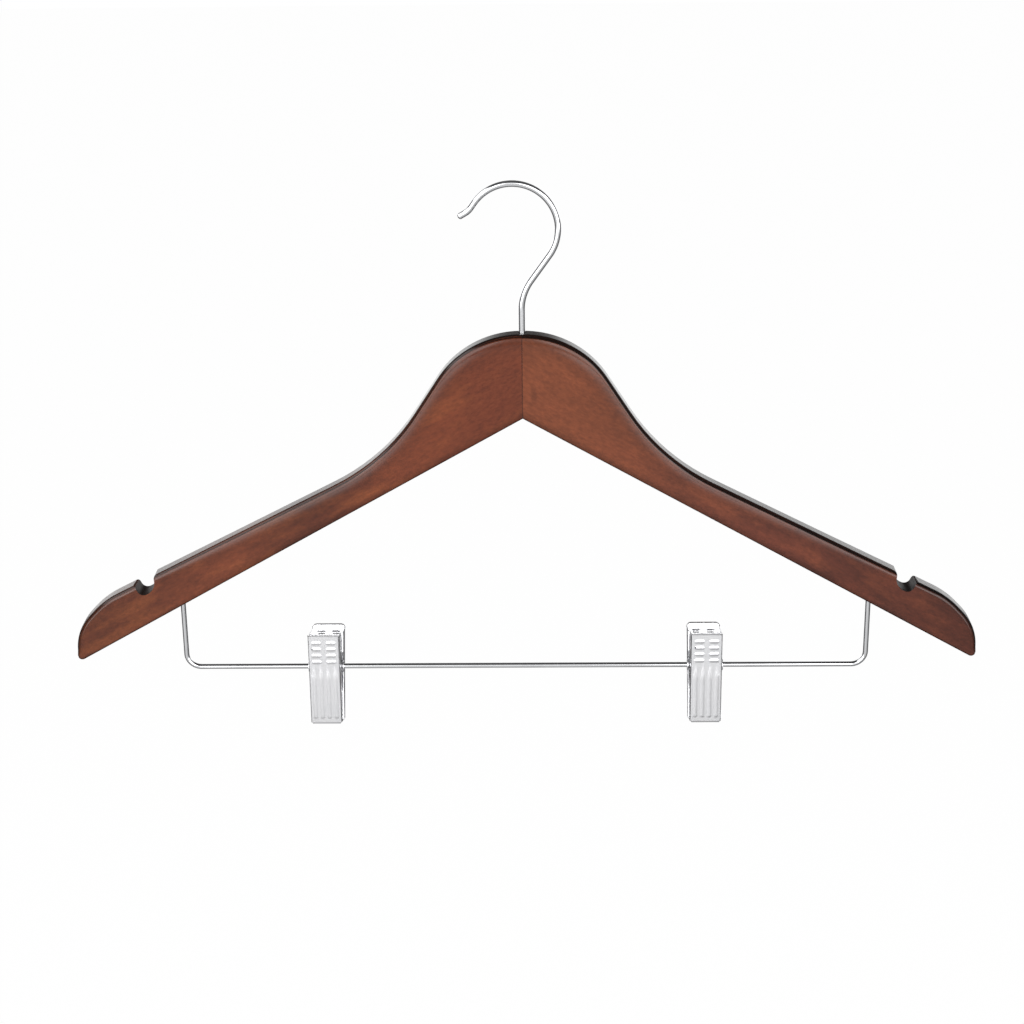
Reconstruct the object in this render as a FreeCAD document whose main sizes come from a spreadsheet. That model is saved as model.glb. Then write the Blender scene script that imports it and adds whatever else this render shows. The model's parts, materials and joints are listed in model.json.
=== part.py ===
import FreeCAD, Part
import math
import os
from collections import namedtuple

import Sketcher

# Skirt hanger, in millimetres: two wooden arms glued at a centre seam, a swivel hook,
# a wire drop bar and two sprung clips that slide and swing on the bar.
# The arms and wires are drawn from the lowest point of the centre seam, and each clip
# from the bar's axis. Placements then put the origin where the hook sits on its rail:
# +X to the right, +Y to the back, +Z up.

DRIVING_DIMENSIONS = {
    # Wooden arms
    "hanger_width": 445,
    "wood_thickness": 12,
    "wood_edge_radius": 2,
    "under_angle": 29.5,
    "arm_taper": 2.4,
    "arm_rise": 13.1,
    "crown_height": 41,
    "crown_radius": 47.5,
    "crown_flat": 0.6,
    "neck_angle": 57,
    "neck_radius": 103,
    "tip_angle": 46.7,
    "tip_shoulder": 16.9,
    "tip_upper_radius": 44,
    "tip_lower_radius": 27.5,
    "tip_corner_radius": 2.3,
    "notch_distance": 181.9,
    "notch_width": 10.7,
    "notch_depth": 6.5,
    "notch_lean": 14,
    "notch_inner_radius": 6.5,
    "notch_outer_radius": 3.2,
    "notch_lip_radius": 1.5,
    # Key across the centre seam
    "key_height": 11.5,
    "key_length": 11,
    "key_thickness": 5,
    "key_level": 13.1,
    "glue_gap": 0.05,
    # Hook and its bush
    "hook_wire": 3,
    "stem_height": 11,
    "bend_radius": 23.7,
    "hook_lean": 17,
    "hook_offset": 4.2,
    "hook_radius": 21.3,
    "lip_angle": 55,
    "lip_length": 2.6,
    "curl_radius": 7.8,
    "curl_angle": 25,
    "hook_tail": 4,
    "hook_end_radius": 1.2,
    "stem_hole_gap": 0.25,
    "swivel_gap": 0.05,
    "bush_setback": 4.7,
    "bush_length": 9,
    "bush_diameter": 6,
    "collar_diameter": 8.6,
    "collar_thickness": 2.4,
    "head_diameter": 5,
    "head_thickness": 1.8,
    "head_gap": 0.1,
    "head_room": 1.2,
    # Drop bar
    "bar_wire": 2.5,
    "bar_span": 338,
    "bar_level": 130.7,
    "bar_bend_radius": 7,
    "leg_depth": 10,
    "socket_gap": 0.04,
    # Clips
    "left_clip_place": 99.3,
    "right_clip_place": 89.5,
    "clip_swing": 12,
    "clip_width": 15.4,
    "sheet": 0.45,
    "nest_gap": 0.1,
    "shell_edge_radius": 0.8,
    "front_corner_radius": 0.9,
    "rear_corner_radius": 2.2,
    "handle_height": 18.6,
    "jaw_length": 28.4,
    "handle_spread": 28.4,
    "jaw_depth": 10.8,
    "handle_gap": 5,
    "meeting_height": 7,
    "meeting_gap": 0.6,
    "window_half_width": 2.6,
    "window_rise": 2.5,
    "window_drop": 5,
    "jaw_start": 13,
    "jaw_gap": 0.3,
    "lug_radius": 3.1,
    "lug_gap": 0.3,
    "lug_spacing": 0.1,
    # Clip pivot
    "slide_gap": 0.08,
    "tube_wall": 0.35,
    "pivot_gap": 0.06,
    "flare_radius": 2.9,
    "flare_thickness": 0.45,
    "flare_gap": 0.12,
    # Clip spring
    "spring_wire": 0.9,
    "spring_pitch": 1.5,
    "spring_turns": 5,
    "spring_bore_gap": 0.3,
    "spring_leg_height": 12.5,
    "spring_leg_gap": 0.12,
    # Embossing on the shells
    "grip_relief": 0.45,
    "grip_length": 5.4,
    "grip_height": 1.9,
    "grip_pitch": 3.3,
    "grip_top": 3.4,
    "grip_column": 3.6,
    "rib_relief": 0.5,
    "rib_width": 2.1,
    "rib_pitch": 3.5,
    "rib_top": 0.8,
    "rib_bottom": 2.6,
    # Jaw pads
    "pad_height": 11,
    "pad_gap": 0.15,
    "pad_fit": 0.04,
    "groove_depth": 0.7,
    "groove_height": 0.9,
    "groove_pitch": 2.4,
    # Shares of a straight run that the arcs at its ends may take
    "arc_share": 0.98,
    "tip_split": 0.52,
    "notch_split": 0.6,
}

# Values worked out from the driving dimensions.
WORKED_OUT = {
    "half_width": "hanger_width / 2",
    "arm_angle": "under_angle - arm_taper",
    "crown_corner": "crown_flat + crown_radius * tan(neck_angle / 2)",
    "neck_x": "(crown_height - arm_rise + tan(neck_angle) * crown_corner)"
              " / (tan(neck_angle) - tan(arm_angle))",
    "neck_z": "arm_rise - tan(arm_angle) * neck_x",
    "neck_room": "(neck_x - crown_corner) / cos(neck_angle) - crown_radius * tan(neck_angle / 2)",
    "neck_fit": "min(neck_radius; arc_share * neck_room / tan((neck_angle - arm_angle) / 2))",
    "tip_low": "-half_width * tan(under_angle)",
    "tip_high": "tip_low + tip_shoulder",
    "tip_x": "(half_width * tan(tip_angle) + tip_high - arm_rise) / (tan(tip_angle) - tan(arm_angle))",
    "tip_z": "arm_rise - tan(arm_angle) * tip_x",
    "tip_run": "(half_width - tip_x) / cos(tip_angle)",
    "tip_lower_fit": "min(tip_lower_radius; tip_split * tip_run / tan((90 - tip_angle) / 2))",
    "tip_upper_fit": "min(tip_upper_radius;"
                     " (arc_share - tip_split) * tip_run / tan((tip_angle - arm_angle) / 2))",
    "notch_top": "arm_rise - tan(arm_angle) * notch_distance",
    "notch_setback": "notch_depth * tan(notch_lean)",
    "notch_run": "arc_share * (notch_width - notch_setback)",
    "notch_bend": "tan((90 - notch_lean) / 2)",
    "notch_inner_fit": "min(notch_inner_radius; notch_split * notch_run / notch_bend)",
    "notch_outer_fit": "min(notch_outer_radius; (1 - notch_split) * notch_run)",
    "notch_wall": "arc_share * notch_depth / cos(notch_lean) - notch_inner_fit * notch_bend",
    "notch_lip_fit": "min(notch_lip_radius; notch_wall / notch_bend)",
    "bush_top": "crown_height - bush_setback",
    "bush_bottom": "bush_top - bush_length",
    "collar_bottom": "bush_bottom - collar_thickness",
    "head_top": "collar_bottom - head_gap",
    "head_bottom": "head_top - head_thickness",
    "hook_end_fit": "min(hook_end_radius; arc_share * hook_wire / 2)",
    "hook_centre": "crown_height + stem_height + hook_lean + hook_radius",
    "seat_height": "hook_centre + sqrt((hook_radius - hook_wire / 2)^2 - hook_offset^2)",
    "socket_top": "leg_depth - bar_span / 2 * tan(under_angle)",
    "socket_length": "leg_depth + bar_wire * tan(under_angle)",
    "bar_drop": "-seat_height - bar_level",
    "tube_bore_radius": "bar_wire / 2 + slide_gap",
    "tube_radius": "tube_bore_radius + tube_wall",
    "rear_width": "clip_width + 2 * (sheet + nest_gap)",
    "tube_half": "rear_width / 2 + flare_gap + flare_thickness",
    "plate_slope": "(handle_spread - jaw_depth) / 2 / (handle_height + jaw_length)",
    "pivot_plate": "jaw_depth / 2 + jaw_length * plate_slope",
    "skin": "sheet * sqrt(1 + plate_slope^2)",
    "press_wall": "sheet * tan(45 / 2)",
}

LEFT = -1
RIGHT = 1
FRONT = -1
REAR = 1
GRIP_ROWS = 4
RIBS = 4
PAD_GROOVES = 4
TOUCHING = 1e-6
WHOLE_EDGE = 0.99
LEAST_TURN_GAP = 0.4
GAP_SAMPLES = 400
BISECTIONS = 60
STEEPEST_LEG = 80

Corner = namedtuple("Corner", "across up radius", defaults=(None,))

doc = FreeCAD.newDocument("skirt_hanger")
sheet = doc.addObject("Spreadsheet::Sheet", "dims")


def fill_sheet():
    """Writes the driving dimensions, then the values worked out from them."""
    row = 0
    for alias, number in DRIVING_DIMENSIONS.items():
        row += 1
        sheet.set(f"A{row}", alias.replace("_", " "))
        sheet.set(f"B{row}", str(number))
        sheet.setAlias(f"B{row}", alias)
    for alias, formula in WORKED_OUT.items():
        row += 1
        sheet.set(f"A{row}", alias.replace("_", " "))
        sheet.set(f"B{row}", "=" + formula)
        sheet.setAlias(f"B{row}", alias)
    doc.recompute()


def value(expression):
    """Number that an expression on the sheet's values comes to."""
    return float(sheet.evalExpression(expression))


def new_body(name):
    """Empty body whose label names its file."""
    body = doc.addObject("PartDesign::Body", name)
    body.Label = name
    return body


def new_sketch(body, name, role, offset=None):
    """Sketch on one of the body's own origin planes, moved along its normal by offset."""
    planes = [plane for plane in body.Origin.OriginFeatures if plane.Role == role]
    sketch = body.newObject("Sketcher::SketchObject", f"{body.Name}_{name}")
    sketch.AttachmentSupport = (planes[0], [""])
    sketch.MapMode = "FlatFace"
    if offset is not None:
        sketch.setExpression("AttachmentOffset.Base.z", offset)
    return sketch


def bind(sketch, constraint, expression):
    """Adds a sized constraint and ties its size to the sheet."""
    constraint.Name = f"size{sketch.ConstraintCount}"
    sketch.addConstraint(constraint)
    sketch.setExpression(f"Constraints.{constraint.Name}", expression)


def fix_point(sketch, geometry, end, across, up):
    """Ties a point to a place given by two expressions, measured from the sketch's origin."""
    for axis, other_axis, expression in (("DistanceX", -2, across), ("DistanceY", -1, up)):
        if expression == "0":
            sketch.addConstraint(Sketcher.Constraint("PointOnObject", geometry, end, other_axis))
        else:
            size = value(expression)
            bind(sketch, Sketcher.Constraint(axis, -1, 1, geometry, end, size), expression)


def rounded_corner(before, point, after, radius):
    """Tangent points, centre and turning sense of an arc that rounds a corner."""
    arriving = (point - before).normalize()
    leaving = (after - point).normalize()
    sense = 1 if arriving.cross(leaving).z > 0 else -1
    reach = radius * math.tan(arriving.getAngle(leaving) / 2)
    start = point - arriving * reach
    finish = point + leaving * reach
    centre = start + FreeCAD.Vector(-arriving.y, arriving.x, 0) * (sense * radius)
    return start, finish, centre, sense


def add_arc(sketch, centre, radius, start, finish, sense):
    """Adds an arc and returns its index and the ends that stand for its start and finish."""
    first, last = (start, finish) if sense > 0 else (finish, start)
    angles = [math.atan2(point.y - centre.y, point.x - centre.x) for point in (first, last)]
    circle = Part.Circle(centre, FreeCAD.Vector(0, 0, 1), radius)
    index = sketch.addGeometry(Part.ArcOfCircle(circle, angles[0], angles[1]), False)
    return (index, 1, 2) if sense > 0 else (index, 2, 1)


def draw(sketch, corners, closed=True):
    """Draws straight runs through corners, with a tangent arc at each corner that has a radius."""
    points = [FreeCAD.Vector(value(c.across), value(c.up), 0) for c in corners]
    count = len(corners)
    starts = list(points)
    finishes = list(points)
    arcs = {}
    for i, corner in enumerate(corners):
        if corner.radius is None:
            continue
        radius = value(corner.radius)
        around = points[i - 1], points[i], points[(i + 1) % count]
        finishes[i], starts[i], centre, sense = rounded_corner(*around, radius)
        arcs[i] = add_arc(sketch, centre, radius, finishes[i], starts[i], sense)
    runs = []
    for i in range(count if closed else count - 1):
        segment = Part.LineSegment(starts[i], finishes[(i + 1) % count])
        runs.append(sketch.addGeometry(segment, False))
    for i, corner in enumerate(corners):
        ends_here = not closed and i in (0, count - 1)
        if ends_here:
            run, end = (runs[0], 1) if i == 0 else (runs[-1], 2)
            fix_point(sketch, run, end, corner.across, corner.up)
        elif corner.radius is None:
            sketch.addConstraint(Sketcher.Constraint("Coincident", runs[i - 1], 2, runs[i], 1))
            fix_point(sketch, runs[i], 1, corner.across, corner.up)
        else:
            arc, arc_start, arc_finish = arcs[i]
            mark = sketch.addGeometry(Part.Point(points[i]), True)
            fix_point(sketch, mark, 1, corner.across, corner.up)
            sketch.addConstraint(Sketcher.Constraint("PointOnObject", mark, 1, runs[i - 1]))
            sketch.addConstraint(Sketcher.Constraint("PointOnObject", mark, 1, runs[i]))
            sketch.addConstraint(Sketcher.Constraint("Tangent", runs[i - 1], 2, arc, arc_start))
            sketch.addConstraint(Sketcher.Constraint("Tangent", arc, arc_finish, runs[i], 1))
            bind(sketch, Sketcher.Constraint("Radius", arc, value(corner.radius)), corner.radius)


def draw_circle(sketch, across, up, radius):
    """Draws a circle at a place, with a radius from the sheet."""
    centre = FreeCAD.Vector(value(across), value(up), 0)
    circle = Part.Circle(centre, FreeCAD.Vector(0, 0, 1), value(radius))
    index = sketch.addGeometry(circle, False)
    fix_point(sketch, index, 3, across, up)
    bind(sketch, Sketcher.Constraint("Radius", index, value(radius)), radius)


def pad(body, sketch, length, symmetric=False):
    """Adds material along the sketch's normal."""
    feature = body.newObject("PartDesign::Pad", f"{sketch.Name}_pad")
    feature.Profile = sketch
    feature.SideType = "Symmetric" if symmetric else "One side"
    feature.setExpression("Length", length)
    doc.recompute()
    return feature


def pocket(body, sketch, length, symmetric=False, forwards=False):
    """Takes material away against the sketch's normal, or along it, and checks that it did."""
    before = body.Shape.Volume
    feature = body.newObject("PartDesign::Pocket", f"{sketch.Name}_pocket")
    feature.Profile = sketch
    feature.SideType = "Symmetric" if symmetric else "One side"
    feature.Reversed = forwards
    feature.setExpression("Length", length)
    doc.recompute()
    if not body.Shape.Volume < before:
        raise RuntimeError(f"{feature.Name} takes nothing away")
    return feature


def turn(body, sketch, kind, axis):
    """Full turn of a sketch about one of its own axes, adding or taking away material."""
    feature = body.newObject(kind, f"{sketch.Name}_turned")
    feature.Profile = sketch
    feature.ReferenceAxis = (sketch, [axis])
    feature.Angle = 360
    doc.recompute()
    return feature


def mirror_across_width(body, features):
    """Repeats features on the other side of the body's own YZ plane."""
    planes = [plane for plane in body.Origin.OriginFeatures if plane.Role == "YZ_Plane"]
    feature = body.newObject("PartDesign::Mirrored", f"{features[0].Name}_mirrored")
    feature.Originals = features
    feature.MirrorPlane = (planes[0], [""])
    body.Tip = feature
    doc.recompute()


def repeat_across_width(body, features, count, pitch):
    """Repeats features along the body's own X axis."""
    axes = [axis for axis in body.Origin.OriginFeatures if axis.Role == "X_Axis"]
    feature = body.newObject("PartDesign::LinearPattern", f"{features[0].Name}_row")
    feature.Originals = features
    feature.Direction = (axes[0], [""])
    feature.Occurrences = count
    feature.setExpression("Length", f"{count - 1} * {pitch}")
    body.Tip = feature
    doc.recompute()


def round_edges(body, name, radius, chosen):
    """Rounds the edges of the body that a test on an edge picks."""
    base = body.Tip
    names = [f"Edge{i + 1}" for i, edge in enumerate(base.Shape.Edges) if chosen(edge)]
    feature = body.newObject("PartDesign::Fillet", f"{body.Name}_{name}")
    feature.Base = (base, names)
    feature.setExpression("Radius", radius)
    doc.recompute()


def sweep(body, path, section):
    """Runs a section along a path."""
    feature = body.newObject("PartDesign::AdditivePipe", f"{body.Name}_wire")
    feature.Profile = section
    feature.Spine = (path, [])
    feature.Mode = "Standard"
    doc.recompute()


def hang(obj):
    """Moves a piece drawn from the seam's lowest point so that the origin is at the rail seat."""
    obj.setExpression("Placement.Base.z", "-dims.seat_height")


def arm_outline(sketch, side):
    """Outline of one arm seen from the front, from the seam to the shoulder tip."""
    x = "-" if side == LEFT else ""
    draw(sketch, [
        Corner("0", "0"),
        Corner(f"{x}dims.half_width", "dims.tip_low", "dims.tip_corner_radius"),
        Corner(f"{x}dims.half_width", "dims.tip_high", "dims.tip_lower_fit"),
        Corner(f"{x}dims.tip_x", "dims.tip_z", "dims.tip_upper_fit"),
        Corner(f"{x}dims.neck_x", "dims.neck_z", "dims.neck_fit"),
        Corner(f"{x}dims.crown_corner", "dims.crown_height", "dims.crown_radius"),
        Corner("0", "dims.crown_height"),
    ])


def cut_notch(body, side):
    """Shoulder notch: a leaning inner wall, a rounded floor, an outer wall across the arm, rounded lips."""
    x = "-" if side == LEFT else ""
    sketch = new_sketch(body, "notch", "XZ_Plane")

    def corner(along, down, radius=None):
        across = (f"dims.notch_distance + ({along}) * cos(dims.arm_angle)"
                  f" - ({down}) * sin(dims.arm_angle)")
        up = f"dims.notch_top - ({along}) * sin(dims.arm_angle) - ({down}) * cos(dims.arm_angle)"
        return Corner(f"{x}({across})", up, radius)

    before = "-2 * dims.notch_lip_fit"
    beyond = "dims.notch_width + 2 * dims.notch_lip_fit"
    above = "-dims.wood_thickness"
    level = "-dims.glue_gap"
    draw(sketch, [
        corner(before, above),
        corner(before, level),
        corner("0", level, "dims.notch_lip_fit"),
        corner("dims.notch_setback", "dims.notch_depth", "dims.notch_inner_fit"),
        corner("dims.notch_width", "dims.notch_depth", "dims.notch_outer_fit"),
        corner("dims.notch_width", level, "dims.notch_lip_fit"),
        corner(beyond, level),
        corner(beyond, above),
    ])
    pocket(body, sketch, "2 * dims.wood_thickness", symmetric=True)


def bore_crown(body):
    """Stepped bore on the seam for the stem, the bush, its collar and the hook's head."""
    sketch = new_sketch(body, "crown_bore", "XZ_Plane")
    stem = "dims.hook_wire / 2 + dims.stem_hole_gap"
    bush = "dims.bush_diameter / 2 + dims.glue_gap"
    collar = "dims.collar_diameter / 2 + dims.glue_gap"
    below = "dims.head_bottom - dims.head_room"
    draw(sketch, [
        Corner("0", "dims.crown_height + dims.wood_edge_radius"),
        Corner("0", below),
        Corner("dims.head_diameter / 2 + dims.stem_hole_gap", below),
        Corner("dims.head_diameter / 2 + dims.stem_hole_gap", "dims.collar_bottom - dims.glue_gap"),
        Corner(collar, "dims.collar_bottom - dims.glue_gap"),
        Corner(collar, "dims.bush_bottom + dims.glue_gap"),
        Corner(bush, "dims.bush_bottom + dims.glue_gap"),
        Corner(bush, "dims.bush_top + dims.glue_gap"),
        Corner(stem, "dims.bush_top + dims.glue_gap"),
        Corner(stem, "dims.crown_height + dims.wood_edge_radius"),
    ])
    before = body.Shape.Volume
    turn(body, sketch, "PartDesign::Groove", "V_Axis")
    if not body.Shape.Volume < before:
        raise RuntimeError("the crown bore takes nothing away")


def make_arm(name, side):
    """One wooden arm with rounded edges, notch, bar socket, crown bore and key slot."""
    x = "-" if side == LEFT else ""
    body = new_body(name)
    outline = new_sketch(body, "outline", "XZ_Plane")
    arm_outline(outline, side)
    pad(body, outline, "dims.wood_thickness", symmetric=True)
    face_level = value("dims.wood_thickness / 2")

    def on_outline(edge):
        box = edge.BoundBox
        on_face = box.YLength < TOUCHING and abs(abs(box.YMin) - face_level) < TOUCHING
        on_seam = box.XLength < TOUCHING and abs(box.XMin) < TOUCHING
        return on_face and not on_seam

    round_edges(body, "edge_rounding", "dims.wood_edge_radius", on_outline)
    cut_notch(body, side)
    socket = new_sketch(body, "socket", "XY_Plane", "dims.socket_top + dims.glue_gap")
    draw_circle(socket, f"{x}dims.bar_span / 2", "0", "dims.bar_wire / 2 + dims.socket_gap")
    pocket(body, socket, "dims.socket_length")
    bore_crown(body)
    mouth = "dims.glue_gap" if side == LEFT else "-dims.glue_gap"
    slot = new_sketch(body, "key_slot", "YZ_Plane", mouth)
    half = "dims.key_thickness / 2 + dims.glue_gap"
    low = "dims.key_level - dims.key_height / 2 - dims.glue_gap"
    high = "dims.key_level + dims.key_height / 2 + dims.glue_gap"
    draw(slot, [
        Corner(f"-({half})", low),
        Corner(half, low),
        Corner(half, high),
        Corner(f"-({half})", high),
    ])
    pocket(body, slot, "dims.key_length / 2 + 2 * dims.glue_gap", forwards=side == RIGHT)
    hang(body)
    return body


def make_key():
    """Hidden wooden key that crosses the centre seam."""
    key = doc.addObject("Part::Box", "joint_key")
    key.Label = "joint_key"
    key.setExpression("Length", "dims.key_length")
    key.setExpression("Width", "dims.key_thickness")
    key.setExpression("Height", "dims.key_height")
    key.setExpression("Placement.Base.x", "-dims.key_length / 2")
    key.setExpression("Placement.Base.y", "-dims.key_thickness / 2")
    key.setExpression("Placement.Base.z", "dims.key_level - dims.key_height / 2 - dims.seat_height")
    return key


def make_bush():
    """Steel sleeve with a collar at its foot, in which the hook's stem turns."""
    body = new_body("hook_bush")
    sketch = new_sketch(body, "section", "XZ_Plane")
    bore = "dims.hook_wire / 2 + dims.swivel_gap"
    draw(sketch, [
        Corner(bore, "dims.collar_bottom"),
        Corner("dims.collar_diameter / 2", "dims.collar_bottom"),
        Corner("dims.collar_diameter / 2", "dims.bush_bottom"),
        Corner("dims.bush_diameter / 2", "dims.bush_bottom"),
        Corner("dims.bush_diameter / 2", "dims.bush_top"),
        Corner(bore, "dims.bush_top"),
    ])
    turn(body, sketch, "PartDesign::Revolution", "V_Axis")
    hang(body)
    return body


def hook_path(sketch):
    """Stem, bend, leaning run, round bow, lip, curl and straight end of the hook's wire."""
    stem_top = FreeCAD.Vector(0, value("dims.crown_height + dims.stem_height"), 0)
    bend = value("dims.bend_radius")
    bow = value("dims.hook_radius")
    curl = value("dims.curl_radius")
    bend_centre = stem_top + FreeCAD.Vector(bend, 0, 0)
    bow_centre = FreeCAD.Vector(-value("dims.hook_offset"), value("dims.hook_centre"), 0)
    between = bow_centre - bend_centre
    heading = math.atan2(between.y, between.x) - math.asin((bend + bow) / between.Length)
    side = FreeCAD.Vector(-math.sin(heading), math.cos(heading), 0)
    lean_start = bend_centre + side * bend
    lean_end = bow_centre - side * bow
    drop = math.radians(value("dims.lip_angle"))
    lip_way = FreeCAD.Vector(-math.cos(drop), -math.sin(drop), 0)
    lip_start = bow_centre + FreeCAD.Vector(lip_way.y, -lip_way.x, 0) * bow
    lip_end = lip_start + lip_way * value("dims.lip_length")
    curl_centre = lip_end + FreeCAD.Vector(lip_way.y, -lip_way.x, 0) * curl
    spin = FreeCAD.Rotation(FreeCAD.Vector(0, 0, 1), -value("dims.curl_angle"))
    curl_end = curl_centre + spin.multVec(lip_end - curl_centre)
    tip = curl_end + spin.multVec(lip_way) * value("dims.hook_tail")
    foot = FreeCAD.Vector(0, value("dims.head_top"), 0)

    stem = sketch.addGeometry(Part.LineSegment(foot, stem_top), False)
    bend_arc = add_arc(sketch, bend_centre, bend, stem_top, lean_start, -1)
    lean = sketch.addGeometry(Part.LineSegment(lean_start, lean_end), False)
    bow_arc = add_arc(sketch, bow_centre, bow, lean_end, lip_start, 1)
    lip = sketch.addGeometry(Part.LineSegment(lip_start, lip_end), False)
    curl_arc = add_arc(sketch, curl_centre, curl, lip_end, curl_end, -1)
    tail = sketch.addGeometry(Part.LineSegment(curl_end, tip), False)
    joints = [
        (stem, 2, bend_arc[0], bend_arc[1]),
        (bend_arc[0], bend_arc[2], lean, 1),
        (lean, 2, bow_arc[0], bow_arc[1]),
        (bow_arc[0], bow_arc[2], lip, 1),
        (lip, 2, curl_arc[0], curl_arc[1]),
        (curl_arc[0], curl_arc[2], tail, 1),
    ]
    for joint in joints:
        sketch.addConstraint(Sketcher.Constraint("Tangent", *joint))
    fix_point(sketch, stem, 1, "0", "dims.head_top")
    fix_point(sketch, stem, 2, "0", "dims.crown_height + dims.stem_height")
    fix_point(sketch, bow_arc[0], 3, "-dims.hook_offset", "dims.hook_centre")
    bind(sketch, Sketcher.Constraint("Radius", bend_arc[0], bend), "dims.bend_radius")
    bind(sketch, Sketcher.Constraint("Radius", bow_arc[0], bow), "dims.hook_radius")
    bind(sketch, Sketcher.Constraint("Radius", curl_arc[0], curl), "dims.curl_radius")
    bind(sketch, Sketcher.Constraint("Distance", lip, value("dims.lip_length")), "dims.lip_length")
    lip_turn = math.pi + drop
    bind(sketch, Sketcher.Constraint("Angle", -1, 1, lip, 1, lip_turn), "180 + dims.lip_angle")
    curl_span = math.radians(value("dims.curl_angle"))
    bind(sketch, Sketcher.Constraint("Angle", curl_arc[0], curl_span), "dims.curl_angle")
    bind(sketch, Sketcher.Constraint("Distance", tail, value("dims.hook_tail")), "dims.hook_tail")
    return tip


def make_hook():
    """Bent wire hook with a peened head below the bush."""
    body = new_body("hook")
    path = new_sketch(body, "path", "XZ_Plane")
    tip = hook_path(path)
    section = new_sketch(body, "section", "XY_Plane", "dims.head_top")
    draw_circle(section, "0", "0", "dims.hook_wire / 2")
    sweep(body, path, section)
    head = new_sketch(body, "head", "XY_Plane", "dims.head_bottom")
    draw_circle(head, "0", "0", "dims.head_diameter / 2")
    pad(body, head, "dims.head_thickness")
    end = FreeCAD.Vector(tip.x, 0, tip.y)

    def at_tip(edge):
        return (edge.BoundBox.Center - end).Length < value("dims.hook_wire") / 4

    round_edges(body, "end_rounding", "dims.hook_end_fit", at_tip)
    hang(body)
    return body


def make_bar():
    """Wire bar with an upright leg at each end."""
    body = new_body("drop_bar")
    path = new_sketch(body, "path", "XZ_Plane")
    draw(path, [
        Corner("-dims.bar_span / 2", "dims.socket_top"),
        Corner("-dims.bar_span / 2", "-dims.bar_level", "dims.bar_bend_radius"),
        Corner("dims.bar_span / 2", "-dims.bar_level", "dims.bar_bend_radius"),
        Corner("dims.bar_span / 2", "dims.socket_top"),
    ], closed=False)
    section = new_sketch(body, "section", "XY_Plane", "dims.socket_top")
    draw_circle(section, "-dims.bar_span / 2", "0", "dims.bar_wire / 2")
    sweep(body, path, section)
    hang(body)
    return body


def place_on_bar(obj, side, swung=True):
    """Puts a clip's piece at its place on the bar, swung about the bar's axis."""
    place = "-dims.left_clip_place" if side == LEFT else "dims.right_clip_place"
    if swung:
        obj.Placement = FreeCAD.Placement(
            FreeCAD.Vector(), FreeCAD.Rotation(FreeCAD.Vector(1, 0, 0), -value("dims.clip_swing")))
        obj.setExpression("Placement.Rotation.Angle", "-dims.clip_swing")
    obj.setExpression("Placement.Base.x", place)
    obj.setExpression("Placement.Base.z", "dims.bar_drop")


def make_tube(name, side):
    """Flared tube that joins a clip's shells and slides along the bar."""
    body = new_body(name)
    sketch = new_sketch(body, "section", "XZ_Plane")
    inner = "dims.tube_half - dims.flare_thickness"
    draw(sketch, [
        Corner("-dims.tube_half", "dims.tube_bore_radius"),
        Corner("dims.tube_half", "dims.tube_bore_radius"),
        Corner("dims.tube_half", "dims.flare_radius"),
        Corner(inner, "dims.flare_radius"),
        Corner(inner, "dims.tube_radius"),
        Corner(f"-({inner})", "dims.tube_radius"),
        Corner(f"-({inner})", "dims.flare_radius"),
        Corner("-dims.tube_half", "dims.flare_radius"),
    ])
    turn(body, sketch, "PartDesign::Revolution", "H_Axis")
    place_on_bar(body, side, swung=False)
    return body


def plate(height, depth="0"):
    """Distance of a shell's plate from the clip's middle at a height, depth into the sheet."""
    return f"(dims.pivot_plate + ({height}) * dims.plate_slope - ({depth}))"


def side_sign(face):
    """Sign of a shell's side of the clip, as text for an expression."""
    return "-" if face == FRONT else ""


def shell_block(body, face, width):
    """Solid outline of a shell: sloping plate, open handle, window at the pivot, jaw."""
    y = side_sign(face)
    sketch = new_sketch(body, "outline", "YZ_Plane")
    draw(sketch, [
        Corner(f"{y}dims.handle_spread / 2", "dims.handle_height"),
        Corner(f"{y}dims.handle_gap / 2", "dims.handle_height"),
        Corner(f"{y}dims.meeting_gap / 2", "dims.meeting_height"),
        Corner(f"{y}dims.window_half_width", "dims.window_rise"),
        Corner(f"{y}dims.window_half_width", "-dims.window_drop"),
        Corner(f"{y}dims.jaw_gap / 2", "-dims.jaw_start"),
        Corner(f"{y}dims.jaw_gap / 2", "-dims.jaw_length"),
        Corner(f"{y}dims.jaw_depth / 2", "-dims.jaw_length"),
    ])
    pad(body, sketch, width, symmetric=True)


def hollow_shell(body, face, width):
    """Leaves the sheet's thickness on the plate, the two sides and the jaw's end."""
    y = side_sign(face)
    sketch = new_sketch(body, "hollow", "YZ_Plane")
    above = "dims.handle_height * 2"
    floor = "-dims.jaw_length + dims.sheet"
    beyond = f"{'' if face == FRONT else '-'}dims.jaw_depth"
    draw(sketch, [
        Corner(f"{y}{plate(above, 'dims.skin')}", above),
        Corner(f"{y}{plate(floor, 'dims.skin')}", floor),
        Corner(beyond, floor),
        Corner(beyond, above),
    ])
    pocket(body, sketch, f"{width} - 2 * dims.sheet", symmetric=True)


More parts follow.
